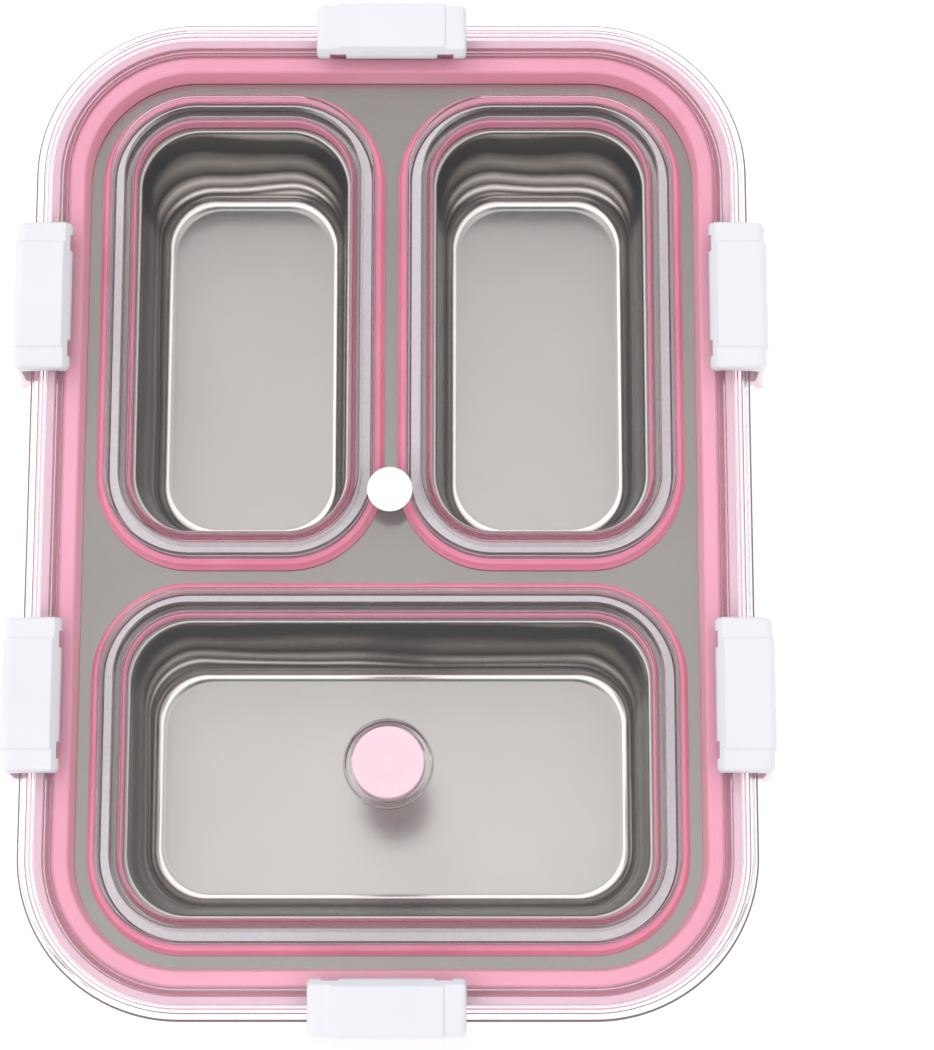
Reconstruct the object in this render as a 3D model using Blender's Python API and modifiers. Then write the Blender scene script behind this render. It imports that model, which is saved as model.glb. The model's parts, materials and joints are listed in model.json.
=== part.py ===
"""Bento lunch box: a moulded shell, a pressed steel tray with three compartments, the rim frame
that holds the tray, and a clear lid with its seals, six snap latches and a vent plug.

Sizes are millimetres until build() scales them to metres. X is the width, Y runs from the front
compartment to the two rear ones, +Z is up, and the origin is at the bottom centre of the shell.
Cross sections are lists of (inset, z), where inset is measured inwards from an outline.
"""

import math
from dataclasses import dataclass

import bmesh
import bpy
from mathutils import Matrix, Vector

MM = 0.001
CLEARANCE = 0.3
CORNER_STEPS = 6
ROUND_STEPS = 28
PIN_STEPS = 12

# Lid outline, seen from above.
LID_WIDTH = 198.0
LID_LENGTH = 278.0
LID_CORNER = 44.0

# Steel tray.
SEAL_TO_FRAME = 3.4
SEAL_TO_SEAL = 3.6
FRONT_LENGTH = 82.0
OPENING_CORNER = 17.0
TRAY_DEPTH = 42.0
STEEL = 0.6
LIP_ROUND = 1.4
WALL_DRAFT = 2.0
FLOOR_ROUND = 6.0

# Outer shell.
SHELL_WALL = 2.0
FOOT_RECESS = 1.1
FOOT_WIDTH = 6.0
SHELL_FOOT_INSET = 27.0
SHELL_BOTTOM_INSET = 19.8
SHELL_WAIST_INSET = 13.0
SHELL_RIM_INSET = 6.8
SHELL_RIM_RISE = 2.2
SHELL_SHOULDER = 0.7 * SHELL_WALL

# Rim frame.
RIM_RISE = 7.0
TONGUE_WIDTH = 2.2
TONGUE_DROP = 1.0
FRAME_GROOVE_DROP = 3.8
FRAME_FLOOR = 1.6
LAND_CHAMFER = 0.8
LAND_INNER_INSET = 13.3
FRAME_INNER_INSET = 14.4
FRAME_SKIRT_DROP = 2.5

# Catch ledges under the latches.
CATCH_LENGTH = 34.0
CATCH_OUT = 0.4
CATCH_TOP_DROP = 0.5
CATCH_HEIGHT = 3.0
CATCH_CHAMFER = 1.3

# Lid.
LID_THICKNESS = 2.0
LID_OVER_LAND = 1.5
SKIRT_WALL = 1.9
SKIRT_DEPTH = 6.5
LID_EDGE_ROUND = 1.9
OUTER_RIB = 0.8
OUTER_RIB_DEPTH = 1.9
INNER_RIB = 1.6
INNER_RIB_DEPTH = 4.7

# Seal channels round the compartments, as distances outwards from the opening's edge.
SEAL_NEAR = 0.3
SEAL_WIDTH = 9.4
SEAL_LEG = 1.5
SEAL_FLOOR = 1.2
SEAL_HEIGHT = 4.2
CHANNEL_FLARE = 0.8
CHANNEL_WALL = 1.3
CHANNEL_FLOOR = 1.8

# Latches.
LATCH_LENGTH = 42.0
PANEL_LENGTH = 30.0
PANEL_RAISE = 0.5
LATCH_WALL = 2.2
LATCH_OUT = 4.5
LATCH_FLARE = 1.0
LATCH_DROP = 23.1
LATCH_OUTER_ROUND = 2.6
ARM_THICKNESS = 4.0
KNUCKLE_RADIUS = 2.1
KNUCKLE_OVER_PIN = 2.7
HOOK_REACH = 3.2
HOOK_HEIGHT = 1.4
PIN_INSET = 9.0
PIN_RADIUS = 0.6
PIN_PLAY = 0.15
PIN_LENGTH = 37.5
LUG_WIDTH = 4.0
LUG_CENTRE = 15.0
LUG_RADIUS = 1.35
LUG_NECK = 1.4
SIDE_LATCH_FROM_REAR = 80.5
SIDE_LATCH_FROM_FRONT = 86.5

# Vent.
WELL_RADIUS = 10.3
WELL_WALL = 1.5
WELL_DEPTH = 7.0
WELL_FLOOR = 1.5
WELL_LIP = 0.5
VENT_HOLE_RADIUS = 2.8
PLUG_PLAY = 0.6
PLUG_RAISE = 1.8
PLUG_CHAMFER = 0.5
STEM_PLAY = 0.4
BARB_OVERHANG = 0.8
BARB_HEIGHT = 1.4
VENT_TRAVEL = 3.5

# Heights, stacked up from the table.
TRAY_UNDERSIDE = FOOT_RECESS + SHELL_WALL + CLEARANCE
TRAY_TOP = TRAY_UNDERSIDE + STEEL + TRAY_DEPTH
LEDGE_TOP = TRAY_TOP - STEEL - CLEARANCE
LEDGE_UNDERSIDE = LEDGE_TOP - SHELL_WALL
SHELL_TOP = LEDGE_TOP + SHELL_RIM_RISE
LAND_TOP = TRAY_TOP + RIM_RISE
LID_UNDERSIDE = LAND_TOP + LID_OVER_LAND
LID_TOP = LID_UNDERSIDE + LID_THICKNESS
SKIRT_BOTTOM = LID_UNDERSIDE - SKIRT_DEPTH
FRAME_GROOVE = LAND_TOP - FRAME_GROOVE_DROP
TONGUE_TOP = LAND_TOP - TONGUE_DROP

# Insets of the rim, worked inwards from the shell's rim.
FRAME_SKIRT_INNER = SHELL_RIM_INSET - CLEARANCE
TONGUE_INNER = FRAME_SKIRT_INNER + 0.1
TONGUE_OUTER = TONGUE_INNER - TONGUE_WIDTH
LAND_OUTER = TONGUE_INNER + INNER_RIB + 2 * CLEARANCE
RIB_OUTER = TONGUE_INNER + CLEARANCE
SHELL_RIM_INNER = SHELL_RIM_INSET + SHELL_WALL
FLANGE_INSET = SHELL_RIM_INNER + 2 * CLEARANCE

# Steel left round the compartments: room for the seals, and a strip of steel beside them.
BORDER = FRAME_INNER_INSET + SEAL_TO_FRAME + SEAL_WIDTH + SEAL_NEAR
WEB = 2 * (SEAL_NEAR + SEAL_WIDTH) + SEAL_TO_SEAL

PIN_HEIGHT = LID_TOP + KNUCKLE_RADIUS + CLEARANCE
LATCH_TOP = PIN_HEIGHT + KNUCKLE_OVER_PIN


@dataclass(frozen=True)
class Outline:
    """A rounded rectangle on a horizontal plane."""

    width: float
    length: float
    radius: float
    x: float = 0.0
    y: float = 0.0

    def points(self, inset):
        """The outline moved inwards by inset, its corners staying concentric."""
        radius = self.radius - inset
        reach_x = self.width / 2 - inset - radius
        reach_y = self.length / 2 - inset - radius
        found = []
        for quarter, (side_x, side_y) in enumerate(((1, 1), (-1, 1), (-1, -1), (1, -1))):
            for step in range(CORNER_STEPS + 1):
                angle = math.pi / 2 * (quarter + step / CORNER_STEPS)
                found.append((
                    self.x + side_x * reach_x + radius * math.cos(angle),
                    self.y + side_y * reach_y + radius * math.sin(angle),
                ))
        return found


@dataclass(frozen=True)
class LatchSite:
    """Where a latch sits: a point on the lid's edge and the way it faces."""

    name: str
    x: float
    y: float
    turn: float

    def matrix(self):
        """Local X points inwards across the rim, local Y runs along it."""
        return Matrix.Translation((self.x, self.y, 0)) @ Matrix.Rotation(math.radians(self.turn), 4, "Z")


LID = Outline(LID_WIDTH, LID_LENGTH, LID_CORNER)


def openings():
    """The outlines of the three compartments, by name."""
    half_width = LID_WIDTH / 2 - BORDER
    half_length = LID_LENGTH / 2 - BORDER
    rear_width = half_width - WEB / 2
    rear_length = 2 * half_length - FRONT_LENGTH - WEB
    rear_x = (half_width + WEB / 2) / 2
    rear_y = half_length - rear_length / 2
    front_y = FRONT_LENGTH / 2 - half_length
    return {
        "rear_left": Outline(rear_width, rear_length, OPENING_CORNER, -rear_x, rear_y),
        "rear_right": Outline(rear_width, rear_length, OPENING_CORNER, rear_x, rear_y),
        "front": Outline(2 * half_width, FRONT_LENGTH, OPENING_CORNER, 0.0, front_y),
    }


def latch_sites():
    """Two latches on each long side and one in the middle of each end."""
    side = LID_WIDTH / 2
    end = LID_LENGTH / 2
    rear_y = end - SIDE_LATCH_FROM_REAR
    front_y = SIDE_LATCH_FROM_FRONT - end
    return [
        LatchSite("left_rear", -side, rear_y, 0),
        LatchSite("left_front", -side, front_y, 0),
        LatchSite("right_rear", side, rear_y, 180),
        LatchSite("right_front", side, front_y, 180),
        LatchSite("front", 0, -end, 90),
        LatchSite("rear", 0, end, -90),
    ]


def material(name, colour, roughness, metallic=0.0, alpha=1.0):
    """A Principled material in one colour."""
    made = bpy.data.materials.new(name)
    made.use_nodes = True
    shader = made.node_tree.nodes["Principled BSDF"]
    shader.inputs["Base Color"].default_value = (*colour, 1.0)
    shader.inputs["Roughness"].default_value = roughness
    shader.inputs["Metallic"].default_value = metallic
    shader.inputs["Alpha"].default_value = alpha
    made.diffuse_color = (*colour, alpha)
    return made


def add_object(name, bm, collection, finish=None):
    """Turns a bmesh in millimetres into an object in metres."""
    bmesh.ops.scale(bm, vec=Vector((MM, MM, MM)), verts=bm.verts)
    mesh = bpy.data.meshes.new(name)
    bm.to_mesh(mesh)
    bm.free()
    obj = bpy.data.objects.new(name, mesh)
    collection.objects.link(obj)
    if finish is not None:
        mesh.materials.append(finish)
    return obj


def helper(name, bm, collection):
    """A cutter or an addition that only Booleans use."""
    obj = add_object(name, bm, collection)
    obj.hide_render = True
    obj.display_type = "WIRE"
    return obj


def helper_collection(name):
    made = bpy.data.collections.new(name)
    bpy.context.scene.collection.children.link(made)
    made.hide_render = True
    return made


def boolean(obj, operation, collection):
    """Joins to obj, or cuts from it, every helper in the collection."""
    modifier = obj.modifiers.new(operation.title(), "BOOLEAN")
    modifier.operation = operation
    modifier.operand_type = "COLLECTION"
    modifier.collection = collection
    modifier.solver = "EXACT"
    return modifier


def solidify(obj, thickness):
    """Gives an open surface a wall on its inner side."""
    modifier = obj.modifiers.new("Wall", "SOLIDIFY")
    modifier.thickness = thickness * MM
    modifier.offset = -1.0
    modifier.use_even_offset = True
    return modifier


def shade_round(obj):
    """Smooth shading, with edges sharper than 35 degrees left crisp."""
    obj.data.shade_smooth()
    obj.data.set_sharp_from_angle(angle=math.radians(35))


def add_loop(bm, outline, inset, z):
    """One closed loop of vertices round an outline."""
    return [bm.verts.new((x, y, z)) for x, y in outline.points(inset)]


def bridge(bm, lower, upper):
    """Faces between two loops of the same count."""
    count = len(lower)
    for i in range(count):
        j = (i + 1) % count
        bm.faces.new((lower[i], lower[j], upper[j], upper[i]))


def ring(outline, section):
    """A closed section carried round an outline, as on a gasket."""
    bm = bmesh.new()
    loops = [add_loop(bm, outline, inset, z) for inset, z in section]
    for i, loop in enumerate(loops):
        bridge(bm, loop, loops[(i + 1) % len(loops)])
    bmesh.ops.recalc_face_normals(bm, faces=bm.faces)
    return bm


def slab(outline, section):
    """A section whose two ends are closed by flat faces, as on a lid."""
    bm = bmesh.new()
    loops = [add_loop(bm, outline, inset, z) for inset, z in section]
    for lower, upper in zip(loops, loops[1:]):
        bridge(bm, lower, upper)
    bm.faces.new(loops[0])
    bm.faces.new(loops[-1])
    bmesh.ops.recalc_face_normals(bm, faces=bm.faces)
    return bm


def arc(centre, radius, start, end, steps):
    """Points on an arc in (inset, z), with its angles in degrees from the inward direction."""
    angles = [math.radians(start + (end - start) * i / steps) for i in range(steps + 1)]
    return [(centre[0] + radius * math.cos(a), centre[1] + radius * math.sin(a)) for a in angles]


def prism(section, length, middle=0.0):
    """A flat (inset, z) section extruded along the rim, centred on middle."""
    bm = bmesh.new()
    start = middle - length / 2
    face = bm.faces.new([bm.verts.new((inset, start, z)) for inset, z in section])
    moved = bmesh.ops.extrude_face_region(bm, geom=[face])["geom"]
    verts = [part for part in moved if isinstance(part, bmesh.types.BMVert)]
    bmesh.ops.translate(bm, vec=(0, length, 0), verts=verts)
    bmesh.ops.recalc_face_normals(bm, faces=bm.faces)
    return bm


def cylinder(radius, length, centre, axis="Z", steps=ROUND_STEPS):
    """A cylinder centred on a point, along Z or along Y."""
    bm = bmesh.new()
    turn = Matrix.Rotation(math.radians(90), 4, "X") if axis == "Y" else Matrix.Identity(4)
    bmesh.ops.create_cone(
        bm, cap_ends=True, segments=steps, radius1=radius, radius2=radius, depth=length,
        matrix=Matrix.Translation(centre) @ turn,
    )
    return bm


def block(low, high):
    """A box between two corners."""
    bm = bmesh.new()
    size = Vector(high) - Vector(low)
    place = Matrix.Translation((Vector(low) + Vector(high)) / 2) @ Matrix.Diagonal((*size, 1))
    bmesh.ops.create_cube(bm, size=1.0, matrix=place)
    return bm


def placed(bm, matrix):
    """The same mesh moved to a latch's site."""
    bmesh.ops.transform(bm, matrix=matrix, verts=bm.verts)
    return bm


def make_shell(collection, finish):
    """The moulded tub: a foot ring, drafted walls, a ledge for the tray and an upright rim."""
    foot_inner = SHELL_FOOT_INSET + FOOT_WIDTH
    turn_up = SHELL_FOOT_INSET - SHELL_BOTTOM_INSET
    section = [
        (foot_inner + FOOT_RECESS, FOOT_RECESS),
        (foot_inner, 0.0),
        (SHELL_FOOT_INSET, 0.0),
        (SHELL_BOTTOM_INSET + turn_up * 0.40, turn_up * 0.13),
        (SHELL_BOTTOM_INSET + turn_up * 0.10, turn_up * 0.45),
        (SHELL_BOTTOM_INSET, turn_up),
        (SHELL_WAIST_INSET, LEDGE_UNDERSIDE),
        (SHELL_RIM_INSET + SHELL_SHOULDER, LEDGE_UNDERSIDE),
        (SHELL_RIM_INSET, LEDGE_UNDERSIDE + SHELL_SHOULDER),
        (SHELL_RIM_INSET, SHELL_TOP),
    ]
    bm = bmesh.new()
    loops = [add_loop(bm, LID, inset, z) for inset, z in section]
    for lower, upper in zip(loops, loops[1:]):
        bridge(bm, lower, upper)
    bm.faces.new(reversed(loops[0]))
    shell = add_object("outer_shell", bm, collection, finish)
    solidify(shell, SHELL_WALL)
    shade_round(shell)
    return shell


def well_section():
    """A compartment's (inset, z) section from the tray's top face to its floor."""
    lip = arc((0, TRAY_TOP - LIP_ROUND), LIP_ROUND, 90, 0, 3)
    wall_foot = LIP_ROUND + WALL_DRAFT
    floor_z = TRAY_TOP - TRAY_DEPTH
    centre = (wall_foot + FLOOR_ROUND, floor_z + FLOOR_ROUND)
    return lip + arc(centre, FLOOR_ROUND, 180, 270, 4)


def make_tray(collection, finish):
    """The pressed steel tray: one sheet with a flat top and three drawn wells."""
    bm = bmesh.new()
    rims = [add_loop(bm, LID, FLANGE_INSET, TRAY_TOP)]
    section = well_section()
    for outline in openings().values():
        loops = [add_loop(bm, outline, inset, z) for inset, z in section]
        for upper, lower in zip(loops, loops[1:]):
            bridge(bm, lower, upper)
        bm.faces.new(loops[-1])
        rims.append(loops[0])
    edges = []
    for loop in rims:
        for i, vert in enumerate(loop):
            pair = (vert, loop[(i + 1) % len(loop)])
            edges.append(bm.edges.get(pair) or bm.edges.new(pair))
    bmesh.ops.triangle_fill(bm, use_beauty=True, edges=edges)
    bmesh.ops.recalc_face_normals(bm, faces=bm.faces)
    lowest = min(bm.faces, key=lambda face: face.calc_center_median().z)
    if lowest.normal.z < 0:
        bmesh.ops.reverse_faces(bm, faces=bm.faces)
    tray = add_object("steel_tray", bm, collection, finish)
    solidify(tray, STEEL)
    shade_round(tray)
    return tray


def catch_section():
    """A ledge on the frame's skirt, with its lower edge chamfered for the latch's hook."""
    top = SKIRT_BOTTOM - CATCH_TOP_DROP
    bottom = top - CATCH_HEIGHT
    root = (TONGUE_OUTER + FRAME_SKIRT_INNER) / 2
    return [
        (-CATCH_OUT, top),
        (-CATCH_OUT, bottom + CATCH_CHAMFER),
        (CATCH_CHAMFER - CATCH_OUT, bottom),
        (root, bottom),
        (root, top),
    ]


def make_frame(collection, finish):
    """The rim ring: a tongue, the groove for the lid's rib, the land and the latch catches."""
    skirt_bottom = LEDGE_UNDERSIDE + SHELL_SHOULDER - FRAME_SKIRT_DROP + 2 * CLEARANCE
    under_groove = FRAME_GROOVE - FRAME_FLOOR
    inner_step = SHELL_RIM_INNER + CLEARANCE
    section = [
        (TONGUE_OUTER, skirt_bottom),
        (TONGUE_OUTER, TONGUE_TOP),
        (TONGUE_INNER, TONGUE_TOP),
        (TONGUE_INNER, FRAME_GROOVE),
        (LAND_OUTER, FRAME_GROOVE),
        (LAND_OUTER, LAND_TOP - LAND_CHAMFER),
        (LAND_OUTER + LAND_CHAMFER, LAND_TOP),
        (LAND_INNER_INSET, LAND_TOP),
        (FRAME_INNER_INSET, TRAY_TOP + CLEARANCE),
        (inner_step, TRAY_TOP + CLEARANCE),
        (inner_step, under_groove),
        (FRAME_SKIRT_INNER, under_groove),
        (FRAME_SKIRT_INNER, skirt_bottom),
    ]
    frame = add_object("rim_frame", ring(LID, section), collection, finish)
    catches = helper_collection("frame_catches")
    for site in latch_sites():
        bm = placed(prism(catch_section(), CATCH_LENGTH), site.matrix())
        helper(f"catch_{site.name}", bm, catches)
    boolean(frame, "UNION", catches)
    return frame


def lid_section():
    """The lid's edge, from the middle of its top face round to the middle of its underside."""
    rounding = arc((LID_EDGE_ROUND, LID_TOP - LID_EDGE_ROUND), LID_EDGE_ROUND, 90, 180, 3)
    outer_rib_in = TONGUE_OUTER - CLEARANCE
    outer_rib_out = outer_rib_in - OUTER_RIB
    rib_inner = RIB_OUTER + INNER_RIB
    return rounding + [
        (0.0, SKIRT_BOTTOM),
        (SKIRT_WALL, SKIRT_BOTTOM),
        (SKIRT_WALL, LID_UNDERSIDE),
        (outer_rib_out, LID_UNDERSIDE),
        (outer_rib_out, LID_UNDERSIDE - OUTER_RIB_DEPTH),
        (outer_rib_in, LID_UNDERSIDE - OUTER_RIB_DEPTH),
        (outer_rib_in, LID_UNDERSIDE),
        (RIB_OUTER, LID_UNDERSIDE),
        (RIB_OUTER, LID_UNDERSIDE - INNER_RIB_DEPTH),
        (rib_inner, LID_UNDERSIDE - INNER_RIB_DEPTH),
        (rib_inner, LID_UNDERSIDE),
    ]


def channel_section():
    """The channel under the lid that a compartment's seal grips: an upright foot, then flared walls."""
    near = SEAL_NEAR + SEAL_LEG + CLEARANCE
    far = SEAL_NEAR + SEAL_WIDTH - SEAL_LEG - CLEARANCE
    foot = TRAY_TOP + SEAL_FLOOR + 2 * CLEARANCE
    seal_top = TRAY_TOP + SEAL_HEIGHT + 2 * CLEARANCE
    inside_lid = LID_UNDERSIDE + LID_THICKNESS / 2
    return [
        (-near, foot),
        (-near, seal_top),
        (CHANNEL_FLARE - near, LID_UNDERSIDE),
        (CHANNEL_FLARE - near, inside_lid),
        (-far - CHANNEL_FLARE, inside_lid),
        (-far - CHANNEL_FLARE, LID_UNDERSIDE),
        (-far, seal_top),
        (-far, foot),
    ]


def channel_groove():
    """The groove that hollows the channel from above."""
    near = SEAL_NEAR + SEAL_LEG + CLEARANCE + CHANNEL_WALL
    far = SEAL_NEAR + SEAL_WIDTH - SEAL_LEG - CLEARANCE - CHANNEL_WALL
    floor = TRAY_TOP + SEAL_FLOOR + 2 * CLEARANCE + CHANNEL_FLOOR
    above = LID_TOP + 1.0
    return [
        (-near, floor),
        (CHANNEL_FLARE - near, above),
        (-far - CHANNEL_FLARE, above),
        (-far, floor),
    ]


def seal_section():
    """A U of silicone that grips the channel's foot and presses on the steel."""
    bottom = TRAY_TOP + CLEARANCE
    top = bottom + SEAL_HEIGHT
    floor = bottom + SEAL_FLOOR
    far = SEAL_NEAR + SEAL_WIDTH
    return [
        (-SEAL_NEAR, bottom),
        (-SEAL_NEAR, top),
        (-SEAL_NEAR - SEAL_LEG, top),
        (-SEAL_NEAR - SEAL_LEG, floor),
        (-far + SEAL_LEG, floor),
        (-far + SEAL_LEG, top),
        (-far, top),
        (-far, bottom),
    ]


def gasket_section():
    """The perimeter gasket, held between the lid's two ribs over the frame's tongue."""
    bottom = TONGUE_TOP + CLEARANCE
    top = LID_UNDERSIDE - CLEARANCE
    return [
        (TONGUE_OUTER, bottom),
        (TONGUE_OUTER, top),
        (TONGUE_INNER, top),
        (TONGUE_INNER, bottom),
    ]


def lug_section():
    """A round eye on a narrow neck, which carries a latch's pin."""
    foot = LID_TOP - LID_THICKNESS / 2
    neck = LUG_NECK / 2
    start = -math.degrees(math.acos(neck / LUG_RADIUS))
    eye = arc((PIN_INSET, PIN_HEIGHT), LUG_RADIUS, start, 180 - start, 10)
    return [(PIN_INSET + neck, foot)] + eye + [(PIN_INSET - neck, foot)]


def pin_middle():
    """The pin's middle: one end is flush with the latch's end, the other stops inside it."""
    return (LATCH_LENGTH - PIN_LENGTH) / 2 - CLEARANCE


def vent_centre():
    front = openings()["front"]
    return front.x, front.y


def make_lid(collection, finish):
    """The clear lid with its skirt, seal channels, hinge lugs and vent well."""
    lid = add_object("lid", slab(LID, lid_section()), collection, finish)
    additions = helper_collection("lid_additions")
    cuts = helper_collection("lid_cuts")
    for name, outline in openings().items():
        helper(f"channel_{name}", ring(outline, channel_section()), additions)
        helper(f"groove_{name}", ring(outline, channel_groove()), cuts)
    for site in latch_sites():
        for side in (-1, 1):
            lug = placed(prism(lug_section(), LUG_WIDTH, side * LUG_CENTRE), site.matrix())
            helper(f"lug_{site.name}_{side}", lug, additions)
            bore = cylinder(
                PIN_RADIUS + PIN_PLAY, LUG_WIDTH * 2, (PIN_INSET, side * LUG_CENTRE, PIN_HEIGHT),
                "Y", PIN_STEPS,
            )
            helper(f"lug_bore_{site.name}_{side}", placed(bore, site.matrix()), cuts)
    x, y = vent_centre()
    well_bottom = LID_TOP - WELL_DEPTH - WELL_FLOOR
    boss_top = LID_TOP + WELL_LIP
    boss = cylinder(WELL_RADIUS + WELL_WALL, boss_top - well_bottom, (x, y, (boss_top + well_bottom) / 2))
    helper("vent_boss", boss, additions)
    well_top = boss_top + 1.0
    well_floor = LID_TOP - WELL_DEPTH
    well = cylinder(WELL_RADIUS, well_top - well_floor, (x, y, (well_top + well_floor) / 2))
    helper("vent_well", well, cuts)
    helper("vent_hole", cylinder(VENT_HOLE_RADIUS, WELL_DEPTH, (x, y, well_floor)), cuts)
    boolean(lid, "UNION", additions)
    boolean(lid, "DIFFERENCE", cuts)
    return lid


def make_plug(collection, finish):
    """The silicone vent plug: a button in the well, a stem and a barb under the lid."""
    head = WELL_RADIUS - PLUG_PLAY
    stem = VENT_HOLE_RADIUS - STEM_PLAY
    barb = VENT_HOLE_RADIUS + BARB_OVERHANG
    top = LID_TOP + PLUG_RAISE
    seat = LID_TOP - WELL_DEPTH + CLEARANCE
    barb_top = LID_TOP - WELL_DEPTH - WELL_FLOOR - VENT_TRAVEL - CLEARANCE
    tip = barb_top - BARB_HEIGHT
    profile = [
        (0, top),
        (head - PLUG_CHAMFER, top),
        (head, top - PLUG_CHAMFER),
        (head, seat),
        (stem, seat),
        (stem, barb_top),
        (barb, barb_top),
        (stem, tip),
        (0, tip),
    ]
    bm = bmesh.new()
    verts = [bm.verts.new((radius, 0, z)) for radius, z in reversed(profile)]
    for a, b in zip(verts, verts[1:]):
        bm.edges.new((a, b))
    plug = add_object("vent_plug", bm, collection, finish)
    x, y = vent_centre()
    plug.location = (x * MM, y * MM, 0)
    turned = plug.modifiers.new("Turned", "SCREW")
    turned.steps = ROUND_STEPS
    turned.render_steps = ROUND_STEPS
    turned.use_merge_vertices = True
    turned.merge_threshold = 0.00001
    turned.use_normal_calculate = True
    return plug


def latch_section(grow):
    """A latch's outline across the rim: knuckle, arm, flared outer wall and hook.

    grow lifts the top and outer faces, for the raised middle panel.
    """
    knee = KNUCKLE_RADIUS * math.sqrt(2)
    top = LATCH_TOP + grow
    outer = -LATCH_OUT - grow
    inner = LATCH_WALL - LATCH_OUT
    bottom = LATCH_TOP - LATCH_DROP
    under = LATCH_TOP - ARM_THICKNESS
    catch_bottom = SKIRT_BOTTOM - CATCH_TOP_DROP - CATCH_HEIGHT
    slope = CATCH_CHAMFER - CATCH_OUT + catch_bottom - CLEARANCE * math.sqrt(2)
    tip = inner + HOOK_REACH
    hook_low = slope - tip - HOOK_HEIGHT / 2
    knuckle_start = 180 + math.degrees(math.asin((PIN_HEIGHT - under) / KNUCKLE_RADIUS))
    round_centre = (outer + LATCH_OUTER_ROUND, top - LATCH_OUTER_ROUND)
    return [
        *arc((PIN_INSET, PIN_HEIGHT), KNUCKLE_RADIUS, knuckle_start - 360, 45, 8),
        (PIN_INSET + knee - (top - PIN_HEIGHT), top),
        *arc(round_centre, LATCH_OUTER_ROUND, 90, 180, 4),
        (outer, slope - inner),
        (outer - LATCH_FLARE, bottom + 0.5),
        (outer - LATCH_FLARE + 0.5, bottom),
        (inner - LATCH_FLARE - 0.5, bottom),
        (inner - LATCH_FLARE, bottom + 0.5),
        (inner, hook_low - HOOK_HEIGHT),
        (tip - HOOK_HEIGHT / 4, hook_low - HOOK_HEIGHT / 4),
        (tip, hook_low + HOOK_HEIGHT / 4),
        (tip, slope - tip),
        (inner, slope - inner),
        (inner, under - 1.0),
        (inner + 1.0, under),
    ]


def make_latch(site, collection, finish):
    """One snap latch, with slots for the lid's lugs and a bore for its pin."""
    body = add_object(
        f"latch_{site.name}", placed(prism(latch_section(0.0), LATCH_LENGTH), site.matrix()), collection, finish
    )
    panels = helper_collection(f"latch_panel_{site.name}")
    panel = prism(latch_section(PANEL_RAISE), PANEL_LENGTH)
    helper(f"panel_{site.name}", placed(panel, site.matrix()), panels)
    cuts = helper_collection(f"latch_cuts_{site.name}")
    half = LUG_WIDTH / 2 + CLEARANCE
    reach = LUG_RADIUS + CLEARANCE
    beyond = PIN_INSET + KNUCKLE_RADIUS + 1.0
    slots = {
        "slot": (PIN_INSET - reach, PIN_HEIGHT),
        "mouth": (PIN_INSET, PIN_HEIGHT + KNUCKLE_RADIUS / math.sqrt(2)),
    }
    for side in (-1, 1):
        for name, (start, top) in slots.items():
            low = (start, side * LUG_CENTRE - half, LID_TOP - 1.0)
            high = (beyond, side * LUG_CENTRE + half, top)
            helper(f"{name}_{site.name}_{side}", placed(block(low, high), site.matrix()), cuts)
        room = cylinder(reach, half * 2, (PIN_INSET, side * LUG_CENTRE, PIN_HEIGHT), "Y", PIN_STEPS)
        helper(f"lug_room_{site.name}_{side}", placed(room, site.matrix()), cuts)
    bore_length = PIN_LENGTH + 3 * CLEARANCE
    bore_middle = pin_middle() + CLEARANCE
    bore = cylinder(
        PIN_RADIUS + PIN_PLAY, bore_length, (PIN_INSET, bore_middle, PIN_HEIGHT), "Y", PIN_STEPS
    )
    helper(f"latch_bore_{site.name}", placed(bore, site.matrix()), cuts)
    boolean(body, "UNION", panels)
    boolean(body, "DIFFERENCE", cuts)
    return body


def make_pin(site, collection, finish):
    """The steel pin that a latch turns on."""
    bm = cylinder(PIN_RADIUS, PIN_LENGTH, (PIN_INSET, pin_middle(), PIN_HEIGHT), "Y", PIN_STEPS)
    return add_object(f"hinge_pin_{site.name}", placed(bm, site.matrix()), collection, finish)


def build():
    for obj in list(bpy.data.objects):
        bpy.data.objects.remove(obj, do_unlink=True)
    parts = bpy.data.collections.new("bento_lunch_box")
    bpy.context.scene.collection.children.link(parts)
    pink_shell = material("pink_polypropylene", (0.90, 0.43, 0.54), 0.35)
    pink_silicone = material("pink_silicone", (0.95, 0.42, 0.55), 0.5)
    steel = material("brushed_stainless", (0.62, 0.60, 0.58), 0.3, 1.0)
    pin_steel = material("polished_stainless", (0.70, 0.70, 0.70), 0.2, 1.0)
    clear = material("clear_lid", (0.95, 0.95, 0.96), 0.05, 0.0, 0.25)
    white = material("white_polypropylene", (0.90, 0.90, 0.92), 0.4)
    make_shell(parts, pink_shell)
    make_tray(parts, steel)
    make_frame(parts, pink_shell)
    make_lid(parts, clear)
    add_object("lid_gasket", ring(LID, gasket_section()), parts, pink_silicone)
    for name, outline in openings().items():
        add_object(f"seal_{name}", ring(outline, seal_section()), parts, pink_silicone)
    make_plug(parts, pink_silicone)
    for site in latch_sites():
        make_latch(site, parts, white)
        make_pin(site, parts, pin_steel)


build()
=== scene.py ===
"""Bento lunch box: a moulded tub with a pressed steel tray, closed by a clear lid with six snap latches.

Sizes are in millimetres until a mesh is made. A section is an array of (inset, z) points, where
inset is measured inwards from an outline. X is the width, Y runs from the front compartment to the
two rear ones, and Z is up.
"""

import json
import logging
import math
from dataclasses import dataclass, field
from enum import Enum
from typing import Sequence

import bmesh
import bpy
import numpy as np
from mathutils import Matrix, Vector
from mathutils.geometry import tessellate_polygon

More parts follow.
